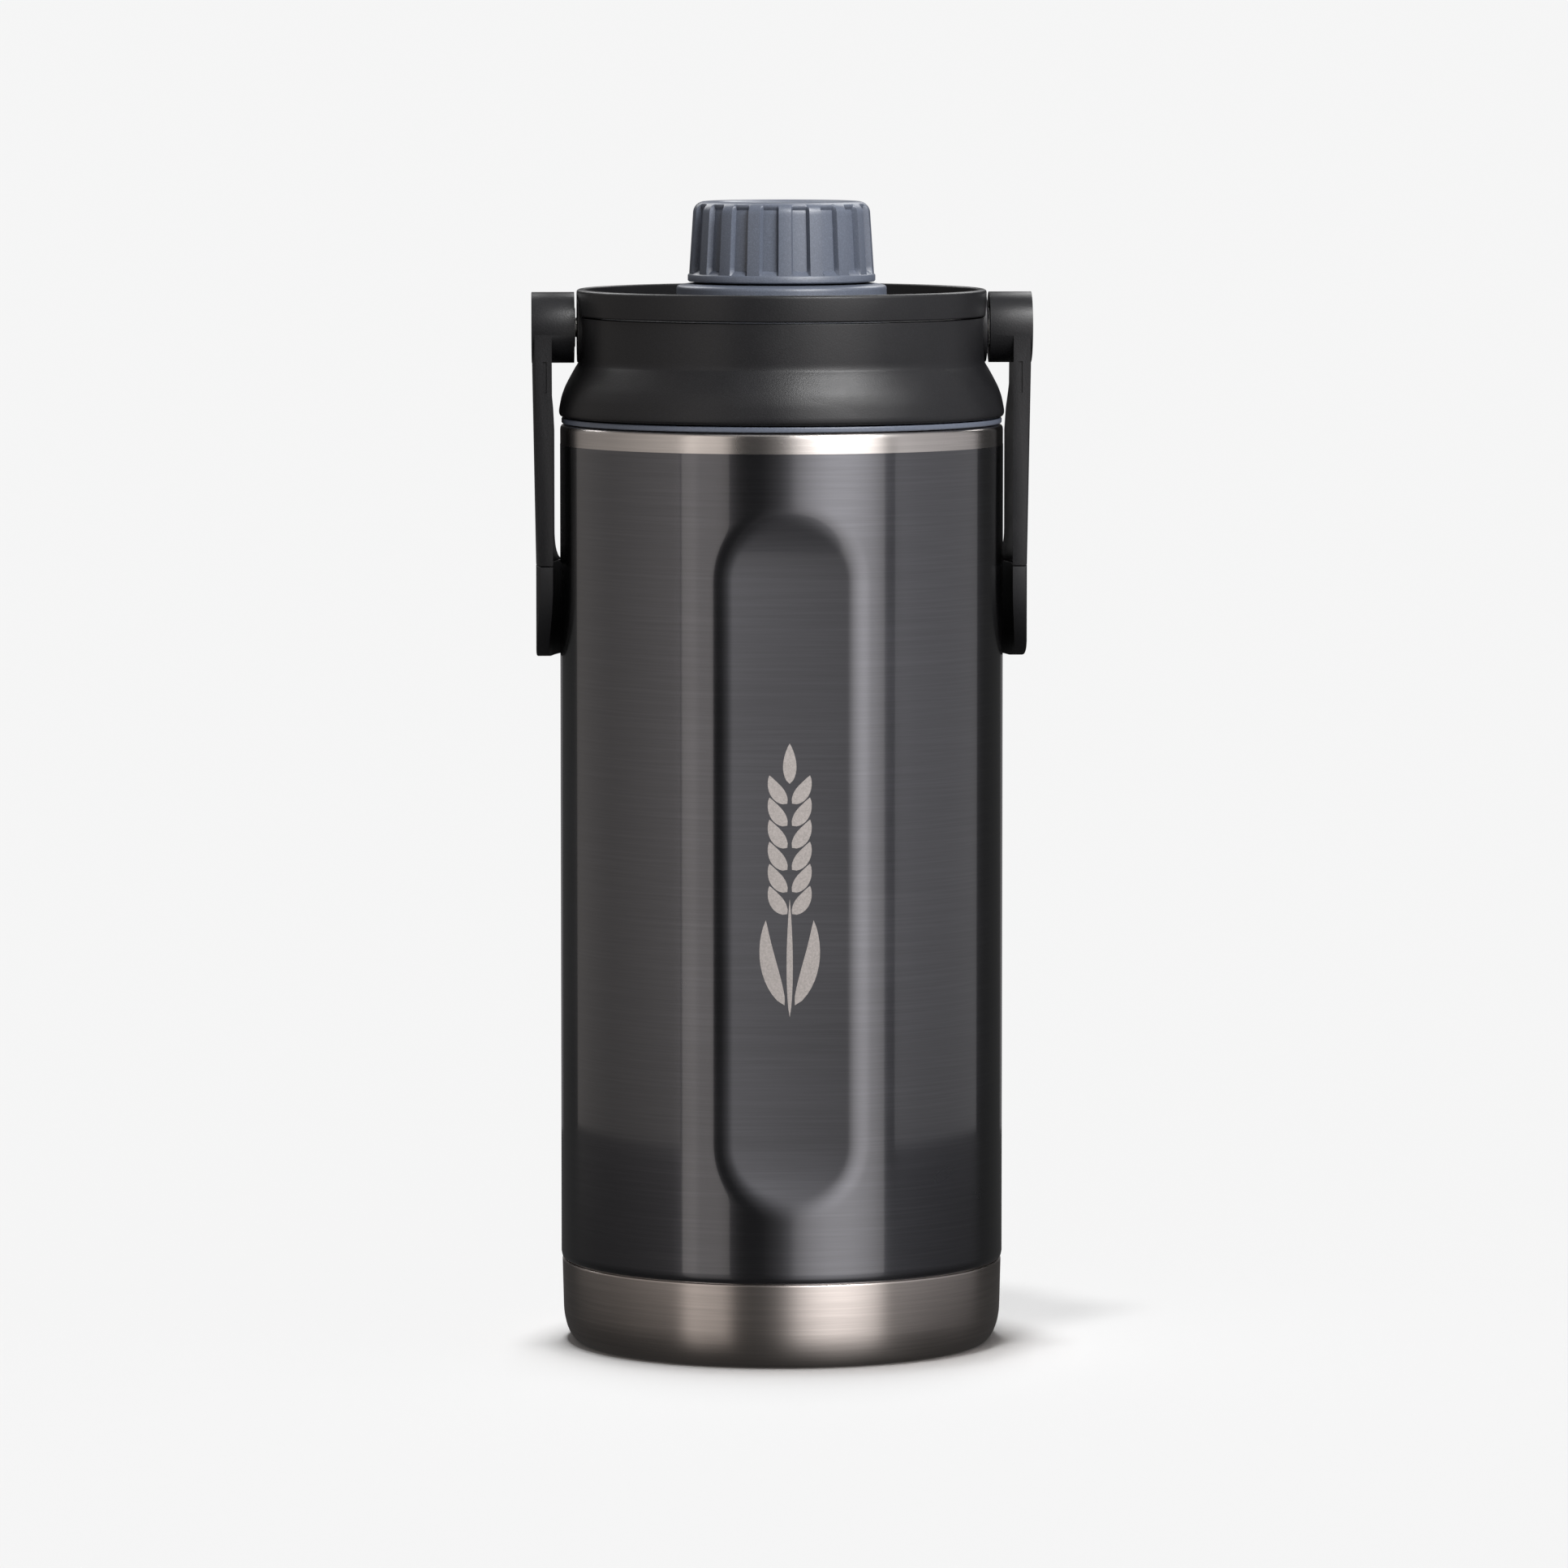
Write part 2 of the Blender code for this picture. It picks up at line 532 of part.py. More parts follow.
def upper_outline():
    crown = BOSS_RADIUS - 0.0002
    outline = arc(0, 0, crown, crown, 0, 180, 10)
    outline += [(BAIL_FRONT, -0.0500), (BAIL_FRONT, BAIL_SEAM), (BAIL_REAR + BAIL_FILLET, BAIL_SEAM)]
    fillet = BAIL_FILLET
    outline += arc(BAIL_REAR + fillet, BAIL_SEAM + fillet, fillet, fillet, 270, 180, 5)[1:]
    outline += [(BAIL_REAR, -0.0270), (BAIL_REAR - 0.0012, -0.0215), (BAIL_NECK_HALF + 0.0004, -0.0150)]
    return outline


def lower_outline(inset, top, rear_top):
    """The band and the lower corners, drawn in by inset; rear_top lowers the part behind the arms."""
    corner = BAIL_CORNER - inset
    front = BAIL_FRONT + inset
    bottom = BAIL_BOTTOM + inset
    outline = [(front, top)] + arc(front + corner, bottom + corner, corner, corner, 180, 270, 8)
    outline += [(BAIL_REACH, bottom), (BAIL_REACH, rear_top)]
    if top > rear_top:
        outline += [(BAIL_REAR - inset, rear_top), (BAIL_REAR - inset, top)]
    else:
        outline += [(0.0, rear_top)]
    return outline


def bail_band(name, outline, inner_radius, outer_radii, collection):
    """The part of a tube round the bottle that lies inside an outline seen from the side."""
    top_radius, low_radius = outer_radii
    profile = [(inner_radius, 0.0120), (top_radius, 0.0120), (top_radius, 0.0), (low_radius, BAIL_SEAM),
               (low_radius, -0.0900), (inner_radius, -0.0900)]
    band = turned(name, profile, ROUND_STEPS, collection)
    combine(band, add_tool(f"{name}_outline", prism_mesh(name, outline, 0.075)), "INTERSECT")
    return settle(band)


def make_bail(pivot):
    radii = (BAIL_TOP_RADIUS, BAIL_LOW_RADIUS)
    bail = bail_band("handle_bail", upper_outline(), BAIL_INNER_RADIUS, radii, parts)
    core_outline = lower_outline(GRIP_SKIN, BAIL_SEAM + GRIP_TENON, BAIL_SEAM - GRIP_SKIN - GAP)
    core_inner, core_outer = GRIP_CORE_RADII
    core = as_tool(bail_band("grip_core", core_outline, core_inner, (core_outer, core_outer), tools))
    combine(bail, core, "UNION")
    for side in (-1, 1):
        boss = add_tool(f"boss_{side}", rod_mesh("boss", BOSS_RADIUS, side * BOSS_INNER_X,
                                                 side * (BAIL_TOP_RADIUS - 0.0001), bevel=0.0010))
        combine(bail, boss, "UNION")
    for side in (-1, 1):
        bore = add_tool(f"boss_bore_{side}", rod_mesh("bore", PIN_BORE, side * BORE_START,
                                                      side * (PIN_SPAN[1] + GAP), steps=PIN_STEPS))
        seat = add_tool(f"washer_seat_{side}", rod_mesh("seat", WASHER_RADIUS + GAP, side * BORE_START,
                                                        side * (WASHER_SPAN[1] + GAP)))
        combine(bail, bore, "DIFFERENCE")
        combine(bail, seat, "DIFFERENCE")
    make_piece(bail, paint["black_plastic"], pivot)


def make_grip(pivot):
    radii = (BAIL_TOP_RADIUS, BAIL_LOW_RADIUS)
    outline = lower_outline(0.0, BAIL_SEAM - GAP, BAIL_SEAM - GAP)
    grip = bail_band("handle_grip", outline, BAIL_INNER_RADIUS, radii, parts)
    cavity_outline = lower_outline(GRIP_SKIN - GAP, BAIL_SEAM + GRIP_TENON, BAIL_SEAM - GRIP_SKIN)
    core_inner, core_outer = GRIP_CORE_RADII
    wide = core_outer + GAP
    cavity = as_tool(bail_band("grip_cavity", cavity_outline, core_inner - GAP, (wide, wide), tools))
    combine(grip, cavity, "DIFFERENCE")
    make_piece(grip, paint["black_grip"], pivot)


def make_pivots(lid_axis, pivot):
    """Pins fixed in the lid, and washers that turn with the handle."""
    for label, side in (("left", -1), ("right", 1)):
        pin_mesh = rod_mesh("pin", PIN_RADIUS, side * PIN_SPAN[0], side * PIN_SPAN[1], bevel=0.0004,
                            steps=PIN_STEPS)
        pin = add_object(f"pivot_pin_{label}", pin_mesh, parts)
        pin.location.z = PIVOT_Z
        make_piece(pin, paint["pin_steel"], lid_axis)
        washer_mesh = rod_mesh("washer", WASHER_RADIUS, side * WASHER_SPAN[0], side * WASHER_SPAN[1])
        washer = add_object(f"pivot_washer_{label}", washer_mesh, parts)
        bore = add_tool(f"washer_bore_{label}", rod_mesh("washer_bore", PIN_BORE, side * BORE_START,
                                                         side * BAIL_TOP_RADIUS, steps=PIN_STEPS))
        combine(washer, bore, "DIFFERENCE")
        make_piece(washer, paint["acetal"], pivot)


def add_empty(name, z, parent=None):
    empty = bpy.data.objects.new(name, None)
    empty.location.z = z
    empty.parent = parent
    bpy.context.scene.collection.objects.link(empty)
    return empty


clear_scene()
parts = new_collection("growler")
tools = new_collection("growler_cutters")
paint = {name: make_material(name) for name in MATERIALS}

make_outer_shell()
make_base_cup()
make_inner_flask()
make_base_disc()
make_vacuum_seal()
make_getter()

lid_axis = add_empty("lid_axis", 0.0)
bores = pivot_tools("pin_bore", PIN_BORE, (PIN_SPAN[0] - 2 * GAP, BAIL_TOP_RADIUS))
make_lid_gasket(lid_axis)
make_inner_lid(lid_axis)
make_lid_insulation(lid_axis)
make_lid_shell(lid_axis, bores)
make_handle_ring(lid_axis, bores)

cap_axis = add_empty("cap_axis", 0.0, lid_axis)
make_cap_shell(cap_axis)
make_cap_liner(cap_axis)
make_cap_seal(cap_axis)

handle_pivot = add_empty("handle_pivot", PIVOT_Z, lid_axis)
make_bail(handle_pivot)
make_grip(handle_pivot)
make_pivots(lid_axis, handle_pivot)
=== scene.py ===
"""Studio picture of an insulated growler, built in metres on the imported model's own frame.

Each piece stands for one CAD node, or for a region of one, and rides on that node's body.
The front, with the thumb recess, faces -Y; the handle's pins lie along X.
"""
import math

import bmesh
import bpy
from mathutils import Matrix, Vector


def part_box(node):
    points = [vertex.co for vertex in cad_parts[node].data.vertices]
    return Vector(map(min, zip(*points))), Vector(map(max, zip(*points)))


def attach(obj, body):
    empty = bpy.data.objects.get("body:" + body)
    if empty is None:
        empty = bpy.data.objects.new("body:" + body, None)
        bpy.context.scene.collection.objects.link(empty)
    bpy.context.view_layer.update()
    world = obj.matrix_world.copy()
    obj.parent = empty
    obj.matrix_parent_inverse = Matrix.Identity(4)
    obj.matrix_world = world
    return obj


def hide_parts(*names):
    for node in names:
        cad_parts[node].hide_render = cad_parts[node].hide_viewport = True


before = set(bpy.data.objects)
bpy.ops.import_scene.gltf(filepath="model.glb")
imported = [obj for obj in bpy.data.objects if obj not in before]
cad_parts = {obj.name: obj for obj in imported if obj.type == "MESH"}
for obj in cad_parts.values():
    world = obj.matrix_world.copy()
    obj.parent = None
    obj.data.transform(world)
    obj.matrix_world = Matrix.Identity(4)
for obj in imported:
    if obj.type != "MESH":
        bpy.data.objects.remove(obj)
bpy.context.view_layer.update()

# Heights and radii read from the frame


def low(node, axis=2):
    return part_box(node)[0][axis]


def high(node, axis=2):
    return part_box(node)[1][axis]


BODY_RADIUS = high("outer_shell", 0)
BAND_TOP = low("outer_shell")
BASE_RADIUS = BODY_RADIUS - 0.00025
NECK_TOP = high("outer_shell")
RIM_Z = high("inner_flask")
SHOULDER_Z = low("inner_lid") - 0.0003
FLANGE_RADIUS = high("inner_lid", 0)
SPOUT_TOP = high("inner_lid")
SKIRT_RADIUS = high("lid_shell", 0)
SKIRT_BOTTOM = low("lid_shell")
RING_TOP = high("handle_ring")
RING_BOTTOM = high("lid_shell") + 0.0003
CAP_BOTTOM = low("cap_shell")
CAP_TOP = high("cap_shell")
CAP_RADIUS = high("cap_shell", 0)
PIN_CENTRE_Z = (low("pivot_pin_left") + high("pivot_pin_left")) / 2
PIN_RADIUS = (high("pivot_pin_left") - low("pivot_pin_left")) / 2
PIN_INNER_X = low("pivot_pin_right", 0)
PIN_OUTER_X = high("pivot_pin_right", 0)
BAIL_RADIUS = high("handle_bail", 0)
BAIL_BOTTOM = low("handle_grip") - PIN_CENTRE_Z
BAIL_FRONT = low("handle_grip", 1)

# Driving dimensions, metres
SHEET = 0.0008
MOUTH_RADIUS = 0.0428
NECK_RADIUS = 0.0448
COAT_TOP = SHOULDER_Z - 0.0051               # where the coat ends and bare steel begins
RECESS_FLOOR = 0.0541
RECESS_BOTTOM = 0.0409
RECESS_TOP = 0.2164
RECESS_RUN = 0.0165                          # height over which each end curves out
RECESS_DEPTH = BODY_RADIUS - RECESS_FLOOR
RECESS_BEND = (RECESS_RUN ** 2 + RECESS_DEPTH ** 2) / (2 * RECESS_DEPTH)
RECESS_SOFTNESS = 0.0010
RECESS_SAG = 0.00015                         # how far the flat is dished at its middle
RECESS_SAG_REACH = 0.0150                    # distance from the middle where the dish ends
FLASK_RADIUS = 0.0512
LINER_BORE = 0.0473
PLUG_RADIUS = 0.0420
COLLAR_RADIUS = 0.0270
COLLAR_TOP = CAP_BOTTOM - 0.0003
SPOUT_RADIUS = 0.0170
SPOUT_BORE = 0.0145
DISH_FLOOR = 0.2648
LID_LEAD = 0.0060
CAP_LEAD = 0.0040
LID_THREAD_Z = 0.2440                        # where the neck's thread starts
LID_THREAD_WIDTHS = (0.0030, 0.0012)         # of a thread, at its root and crest
CAP_THREAD_Z = 0.2790                        # where the spout's thread starts
CAP_THREAD_WIDTHS = (0.0020, 0.0008)
BOSS_RADIUS = 0.0091
BOSS_INNER_X = 0.0533
BAIL_LOW_RADIUS = BAIL_RADIUS - 0.0011
BAIL_INNER_RADIUS = 0.0599
BAIL_REAR = 0.0140
BAIL_SEAM = -0.0608
BAIL_CORNER = 0.0200
BAIL_FILLET = 0.0080
BAIL_REACH = 0.0750
MARK_HEIGHT = 0.0694
MARK_Z = 0.1244
FINE = 192                                   # steps of a large turned piece
SMALL = 96                                   # steps of a small one


# Meshes

def new_object(name, work):
    mesh = bpy.data.meshes.new(name)
    work.to_mesh(mesh)
    work.free()
    obj = bpy.data.objects.new(name, mesh)
    bpy.context.scene.collection.objects.link(obj)
    return obj


def skin(name, rows, closed):
    """Join rings of points; closed also joins the last ring to the first."""
    work = bmesh.new()
    rings = [[work.verts.new(point) for point in row] for row in rows]
    pairs = list(zip(rings, rings[1:]))
    if closed:
        pairs.append((rings[-1], rings[0]))
    count = len(rows[0])
    for upper, lower in pairs:
        for i in range(count):
            j = (i + 1) % count
            work.faces.new((upper[i], lower[i], lower[j], upper[j]))
    bmesh.ops.remove_doubles(work, verts=work.verts, dist=1e-7)
    bmesh.ops.recalc_face_normals(work, faces=work.faces)
    return new_object(name, work)


def softened(corners, closed=True):
    """Round an (r, z, fillet) profile; a fillet of 0 keeps the corner."""
    points = []
    count = len(corners)
    for i, (r, z, fillet) in enumerate(corners):
        if fillet == 0 or (not closed and i in (0, count - 1)):
            points.append((r, z))
            continue
        here = Vector((r, z))
        before = Vector(corners[i - 1][:2]) - here
        after = Vector(corners[(i + 1) % count][:2]) - here
        start = here + before.normalized() * min(fillet, before.length * 0.48)
        end = here + after.normalized() * min(fillet, after.length * 0.48)
        for step in range(5):
            t = step / 4
            spot = start * (1 - t) ** 2 + here * 2 * t * (1 - t) + end * t ** 2
            points.append((spot.x, spot.y))
    return points


def turned(name, corners, steps=FINE, closed=True):
    """Turn a softened profile about Z."""
    rows = []
    for r, z in softened(corners, closed):
        angles = (math.tau * i / steps for i in range(steps))
        rows.append([(r * math.cos(a), r * math.sin(a), z) for a in angles])
    return skin(name, rows, closed)


def arc(centre_r, centre_z, radius_r, radius_z, start_deg, end_deg, count):
    points = []
    for i in range(count + 1):
        a = math.radians(start_deg + (end_deg - start_deg) * i / count)
        points.append((centre_r + radius_r * math.cos(a), centre_z + radius_z * math.sin(a)))
    return points


def corners_of(points):
    return [(r, z, 0) for r, z in points]


def ridge(name, root, crest, lead, start_z, widths, turns=1.25, steps=96):
    """A right-handed helical thread ridge whose ends fade into the wall."""
    base, top = widths
    count = round(turns * steps)
    rows = []
    for i in range(count + 1):
        fade = min(1.0, min(i, count - i) / 8)
        angle = math.tau * i / steps
        tip = root + (crest - root) * fade
        z = start_z + lead * i / steps
        section = ((root, -base / 2), (tip, -top / 2), (tip, top / 2), (root, base / 2))
        rows.append([(r * math.cos(angle), r * math.sin(angle), z + dz) for r, dz in section])
    return skin(name, rows, False)


def rod(name, radius, start_x, end_x, fillet=0.0, steps=48):
    """A rod along X at the height of the pins, with its rims rounded."""
    start, end = sorted((start_x, end_x))
    rows = []
    for r, x in softened([(0, start, 0), (radius, start, fillet), (radius, end, fillet), (0, end, 0)], False):
        angles = (math.tau * i / steps for i in range(steps))
        rows.append([(x, r * math.cos(a), PIN_CENTRE_Z + r * math.sin(a)) for a in angles])
    return skin(name, rows, False)


def prism(name, outline, half_length):
    """Extrude a (y, z) outline, measured from the pins, along X."""
    work = bmesh.new()
    face = work.faces.new([work.verts.new((-half_length, y, PIN_CENTRE_Z + z)) for y, z in outline])
    moved = bmesh.ops.extrude_face_region(work, geom=[face])["geom"]
    corners = [item for item in moved if isinstance(item, bmesh.types.BMVert)]
    bmesh.ops.translate(work, verts=corners, vec=(2 * half_length, 0, 0))
    bmesh.ops.recalc_face_normals(work, faces=work.faces)
    return new_object(name, work)


def bake(obj):
    """Give the object the mesh that its modifiers make."""
    bpy.context.view_layer.update()
    graph = bpy.context.evaluated_depsgraph_get()
    mesh = bpy.data.meshes.new_from_object(obj.evaluated_get(graph))
    obj.modifiers.clear()
    obj.data = mesh
    return obj


def combine(obj, tools, operation):
    """Cut, join or intersect with each tool, and drop the tools."""
    for tool in tools:
        modifier = obj.modifiers.new(tool.name, "BOOLEAN")
        modifier.operation = operation
        modifier.object = tool
    bake(obj)
    for tool in tools:
        bpy.data.objects.remove(tool)
    return obj


def join(obj, others):
    """Put the others' faces into the object's own mesh."""
    work = bmesh.new()
    work.from_mesh(obj.data)
    for other in others:
        work.from_mesh(other.data)
        bpy.data.objects.remove(other)
    work.to_mesh(obj.data)
    work.free()
    return obj


def soften_edges(obj, width, angle=35, segments=3):
    work = bmesh.new()
    work.from_mesh(obj.data)
    bmesh.ops.remove_doubles(work, verts=work.verts, dist=2e-5)
    bmesh.ops.dissolve_limit(work, angle_limit=math.radians(0.6), verts=work.verts, edges=work.edges)
    work.to_mesh(obj.data)
    work.free()
    bevel = obj.modifiers.new("soft_edges", "BEVEL")
    bevel.width = width
    bevel.segments = segments
    bevel.limit_method = "ANGLE"
    bevel.angle_limit = math.radians(angle)
    return bake(obj)


def piece(obj, body, slot, paint, *nodes, sharp=40):
    """Finish a piece: material, shading, body, and the CAD nodes it stands for."""
    obj.data.materials.clear()
    obj.data.materials.append(paint)
    obj.data.shade_smooth()
    obj.data.set_sharp_from_angle(angle=math.radians(sharp))
    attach(obj, body)
    if nodes:
        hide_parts(*nodes)
    return obj


# Materials

class Paint:
    """A Principled material with short calls for its texture nodes."""

    def __init__(self, name, colour, roughness, metallic=0.0, **constants):
        self.material = bpy.data.materials.new(name)
        self.material.use_nodes = True
        self.tree = self.material.node_tree
        self.shader = self.tree.nodes["Principled BSDF"]
        self.colour = colour
        self.roughness = roughness
        self.shader.inputs["Base Color"].default_value = (*colour, 1.0)
        self.shader.inputs["Roughness"].default_value = roughness
        self.shader.inputs["Metallic"].default_value = metallic
        for key, value in constants.items():
            self.shader.inputs[key.replace("_", " ").title().replace("Ior", "IOR")].default_value = value
        self.place = self.tree.nodes.new("ShaderNodeTexCoord").outputs["Object"]
        self.bumps = None

    def link(self, source, target):
        self.tree.links.new(source, target)

    def noise(self, stretch, detail=2.0, roughness=0.5):
        """Noise whose features are 1 / stretch metres along each axis."""
        mapping = self.tree.nodes.new("ShaderNodeMapping")
        mapping.inputs["Scale"].default_value = stretch
        self.link(self.place, mapping.inputs["Vector"])
        noise = self.tree.nodes.new("ShaderNodeTexNoise")
        noise.inputs["Scale"].default_value = 1.0
        noise.inputs["Detail"].default_value = detail
        noise.inputs["Roughness"].default_value = roughness
        self.link(mapping.outputs["Vector"], noise.inputs["Vector"])
        return noise.outputs["Fac"]

    def spread(self, source, low_value, high_value, low_in=0.3, high_in=0.7):
        """Map a noise value to a range."""
        node = self.tree.nodes.new("ShaderNodeMapRange")
        node.inputs["From Min"].default_value = low_in
        node.inputs["From Max"].default_value = high_in
        node.inputs["To Min"].default_value = low_value
        node.inputs["To Max"].default_value = high_value
        self.link(source, node.inputs["Value"])
        return node.outputs["Result"]

    def vary_colour(self, source, other, low_in=0.3, high_in=0.7):
        mix = self.tree.nodes.new("ShaderNodeMix")
        mix.data_type = "RGBA"
        base = self.shader.inputs["Base Color"]
        if base.is_linked:
            self.link(base.links[0].from_socket, mix.inputs["A"])
        else:
            mix.inputs["A"].default_value = (*self.colour, 1.0)
        mix.inputs["B"].default_value = (*other, 1.0)
        self.link(self.spread(source, 0.0, 1.0, low_in, high_in), mix.inputs["Factor"])
        self.link(mix.outputs["Result"], base)

    def vary_roughness(self, source, amount):
        self.link(self.spread(source, self.roughness - amount, self.roughness + amount),
                  self.shader.inputs["Roughness"])

    def bump(self, source, depth, strength=1.0):
        node = self.tree.nodes.new("ShaderNodeBump")
        node.inputs["Strength"].default_value = strength
        node.inputs["Distance"].default_value = depth
        self.link(source, node.inputs["Height"])
        if self.bumps:
            self.link(self.bumps, node.inputs["Normal"])
        self.bumps = node.outputs["Normal"]
        self.link(self.bumps, self.shader.inputs["Normal"])

    def turned_grain(self):
        """Point the shader's tangent round the Z axis."""
        tangent = self.tree.nodes.new("ShaderNodeTangent")
        tangent.direction_type = "RADIAL"
        tangent.axis = "Z"
        self.link(tangent.outputs["Tangent"], self.shader.inputs["Tangent"])


def brushed(name, colour, roughness, lines, **constants):
    """Metal brushed round the bottle: fine lines of uneven length and depth."""
    paint = Paint(name, colour, roughness, 1.0, anisotropic=0.75, anisotropic_rotation=0.25, **constants)
    paint.turned_grain()
    fine = paint.noise((55, 55, 5200), 3.0, 0.6)
    broad = paint.noise((28, 28, 1400), 2.0)
    cloud = paint.noise((22, 22, 30), 2.0)
    darker = tuple(value * (1 - lines) for value in colour)
    lighter = tuple(min(1.0, value * (1 + lines)) for value in colour)
    paint.vary_colour(fine, darker)
    paint.vary_colour(broad, lighter, 0.45, 0.85)
    paint.vary_roughness(cloud, 0.03)
    paint.bump(fine, 0.000006)
    return paint.material


def moulded(name, colour, roughness, grain, depth, **constants):
    """Moulded plastic with a fine spark-eroded grain and handling sheen."""
    paint = Paint(name, colour, roughness, 0.0, **constants)
    pits = paint.noise((grain,) * 3, 2.0, 0.6)
    cloud = paint.noise((70, 70, 70), 3.0)
    paint.vary_colour(pits, tuple(value * 1.5 for value in colour), 0.45, 0.8)
    paint.vary_roughness(cloud, 0.05)
    paint.bump(pits, depth)
    return paint.material


def make_paints():
    coat = brushed("graphite_coat", (0.100, 0.101, 0.112), 0.30, 0.12,
                   coat_weight=1.0, coat_roughness=0.06, coat_ior=1.50)
    steel = brushed("brushed_steel", (0.59, 0.557, 0.535), 0.28, 0.10)
    # A darker, rougher copy of the brushed steel for the base cup: painted shade standing in for the dark
    # reflection of the ground below the base band
    base = brushed("base_steel_painted_shade", (0.50, 0.455, 0.43), 0.32, 0.12)
    inner = brushed("satin_steel", (0.62, 0.61, 0.60), 0.26, 0.06)
    pin = brushed("turned_steel", (0.66, 0.64, 0.61), 0.22, 0.10)
    etched = Paint("etched_steel", (0.52, 0.485, 0.47), 0.48, 1.0)
    etched.vary_colour(etched.noise((2600,) * 3, 2.0), (0.40, 0.375, 0.36))
    etched.bump(etched.noise((4200,) * 3, 2.0), 0.00001)
    solder = Paint("dull_solder", (0.45, 0.45, 0.46), 0.45, 1.0)
    solder.vary_colour(solder.noise((900,) * 3, 3.0), (0.30, 0.30, 0.31))
    solder.bump(solder.noise((1500,) * 3, 3.0), 0.00004)
    getter = Paint("sintered_getter", (0.25, 0.25, 0.26), 0.70, 0.8)
    getter.vary_colour(getter.noise((3000,) * 3, 3.0), (0.12, 0.12, 0.12))
    getter.bump(getter.noise((3600,) * 3, 3.0), 0.00005)
    silicone = Paint("silicone", (0.55, 0.56, 0.58), 0.52, 0.0, subsurface_weight=0.15,
                     subsurface_scale=0.002)
    silicone.vary_colour(silicone.noise((160,) * 3, 3.0), (0.47, 0.48, 0.50))
    silicone.bump(silicone.noise((2400,) * 3, 2.0), 0.00001)
    foam = Paint("foam", (0.80, 0.78, 0.70), 0.90)
    foam.vary_colour(foam.noise((900,) * 3, 3.0), (0.62, 0.59, 0.50))
    foam.bump(foam.noise((1300,) * 3, 3.0), 0.0002)
    return {
        "coat": coat,
        "steel": steel,
        "base": base,
        "inner": inner,
        "pin": pin,
        "etched": etched.material,
        "solder": solder.material,
        "getter": getter.material,
        "silicone": silicone.material,
        "foam": foam.material,
        "black": moulded("black_plastic", (0.007, 0.007, 0.008), 0.38, 2600, 0.000030,
                         specular_ior_level=0.30),
        "grip": moulded("black_grip", (0.008, 0.008, 0.009), 0.50, 3600, 0.000015, specular_ior_level=0.25),
        "slate": moulded("slate_plastic", (0.074, 0.085, 0.112), 0.38, 3000, 0.000012),
        "acetal": moulded("acetal", (0.75, 0.75, 0.73), 0.40, 2500, 0.00001),
    }


# Vessel

def smooth_lower(a, b, width):
    """The lower of two values, with a soft change over from one to the other."""
    h = max(width - abs(a - b), 0.0) / width
    return min(a, b) - h * h * width / 4


def wall_depth(x, z, shift):
    """Distance of the front wall from the plane y = 0: the cylinder, or the flat and its curved ends."""
    radius = BODY_RADIUS + shift
    bend = RECESS_BEND - shift
    round_wall = math.sqrt(max(radius * radius - x * x, 0.0))
    middle = (RECESS_BOTTOM + RECESS_TOP) / 2
    straight = middle - RECESS_BOTTOM - RECESS_RUN
    along = max(abs(z - middle) - straight, 0.0)
    if along >= bend:
        return round_wall
    pressed = RECESS_FLOOR + RECESS_BEND - math.sqrt(bend * bend - along * along)
    pressed += RECESS_SAG * ((x / RECESS_SAG_REACH) ** 2 - 1)
    return smooth_lower(round_wall, pressed, RECESS_SOFTNESS)


def body_angles():
    """Angles round the body, closer together across the two recesses."""
    angles = []
    for start, span, count in ((-116, 52, 104), (-64, 128, 72), (64, 52, 104), (116, 128, 72)):
        angles += [math.radians(start + span * i / count) for i in range(count)]
    return angles


def body_row(shift, z, angles):
    row = []
    for angle in angles:
        x = (BODY_RADIUS + shift) * math.cos(angle)
        y = (BODY_RADIUS + shift) * math.sin(angle)
        if abs(x) < 0.026:
            y = math.copysign(wall_depth(x, z, shift), y)
        row.append((x, y, z))
    return row


def make_coated_body(paint):
    start = BAND_TOP - 0.0001
    angles = body_angles()
    outer = [(-0.0012, start), (-0.0006, start + 0.0001), (-0.0002, start + 0.0006), (0.0, start + 0.0016)]
    heights = [start + 0.0016 + (COAT_TOP - start - 0.0016) * i / 205 for i in range(1, 205)]
    outer += [(0.0, z) for z in heights] + [(0.0, COAT_TOP)]
    inner = [(-SHEET, COAT_TOP - (COAT_TOP - start) * i / 40) for i in range(41)]
    rows = [body_row(shift, z, angles) for shift, z in outer + inner]
    body = skin("coated_body", rows, True)
    return piece(body, "vessel", "graphite_coat", paint["coat"], "outer_shell")


def make_bare_shoulder(paint):
    """The bare band above the coat, the shoulder and the threaded neck."""
    skinned = BODY_RADIUS - 0.00005
    corners = [(skinned, COAT_TOP, 0), (skinned, SHOULDER_Z, 0.0013), (NECK_RADIUS, SHOULDER_Z, 0.0012),
               (NECK_RADIUS, NECK_TOP, 0.0003), (NECK_RADIUS - SHEET, NECK_TOP, 0.0002),
               (NECK_RADIUS - SHEET, SHOULDER_Z - SHEET, 0.0012),
               (skinned - SHEET, SHOULDER_Z - SHEET, 0.0009), (skinned - SHEET, COAT_TOP, 0)]
    shoulder = turned("bare_shoulder", corners)
    thread = ridge("neck_thread", NECK_RADIUS - 0.0004, NECK_RADIUS + 0.0018, LID_LEAD, LID_THREAD_Z,
                   LID_THREAD_WIDTHS)
    join(shoulder, [thread])
    return piece(shoulder, "vessel", "brushed_steel", paint["steel"])


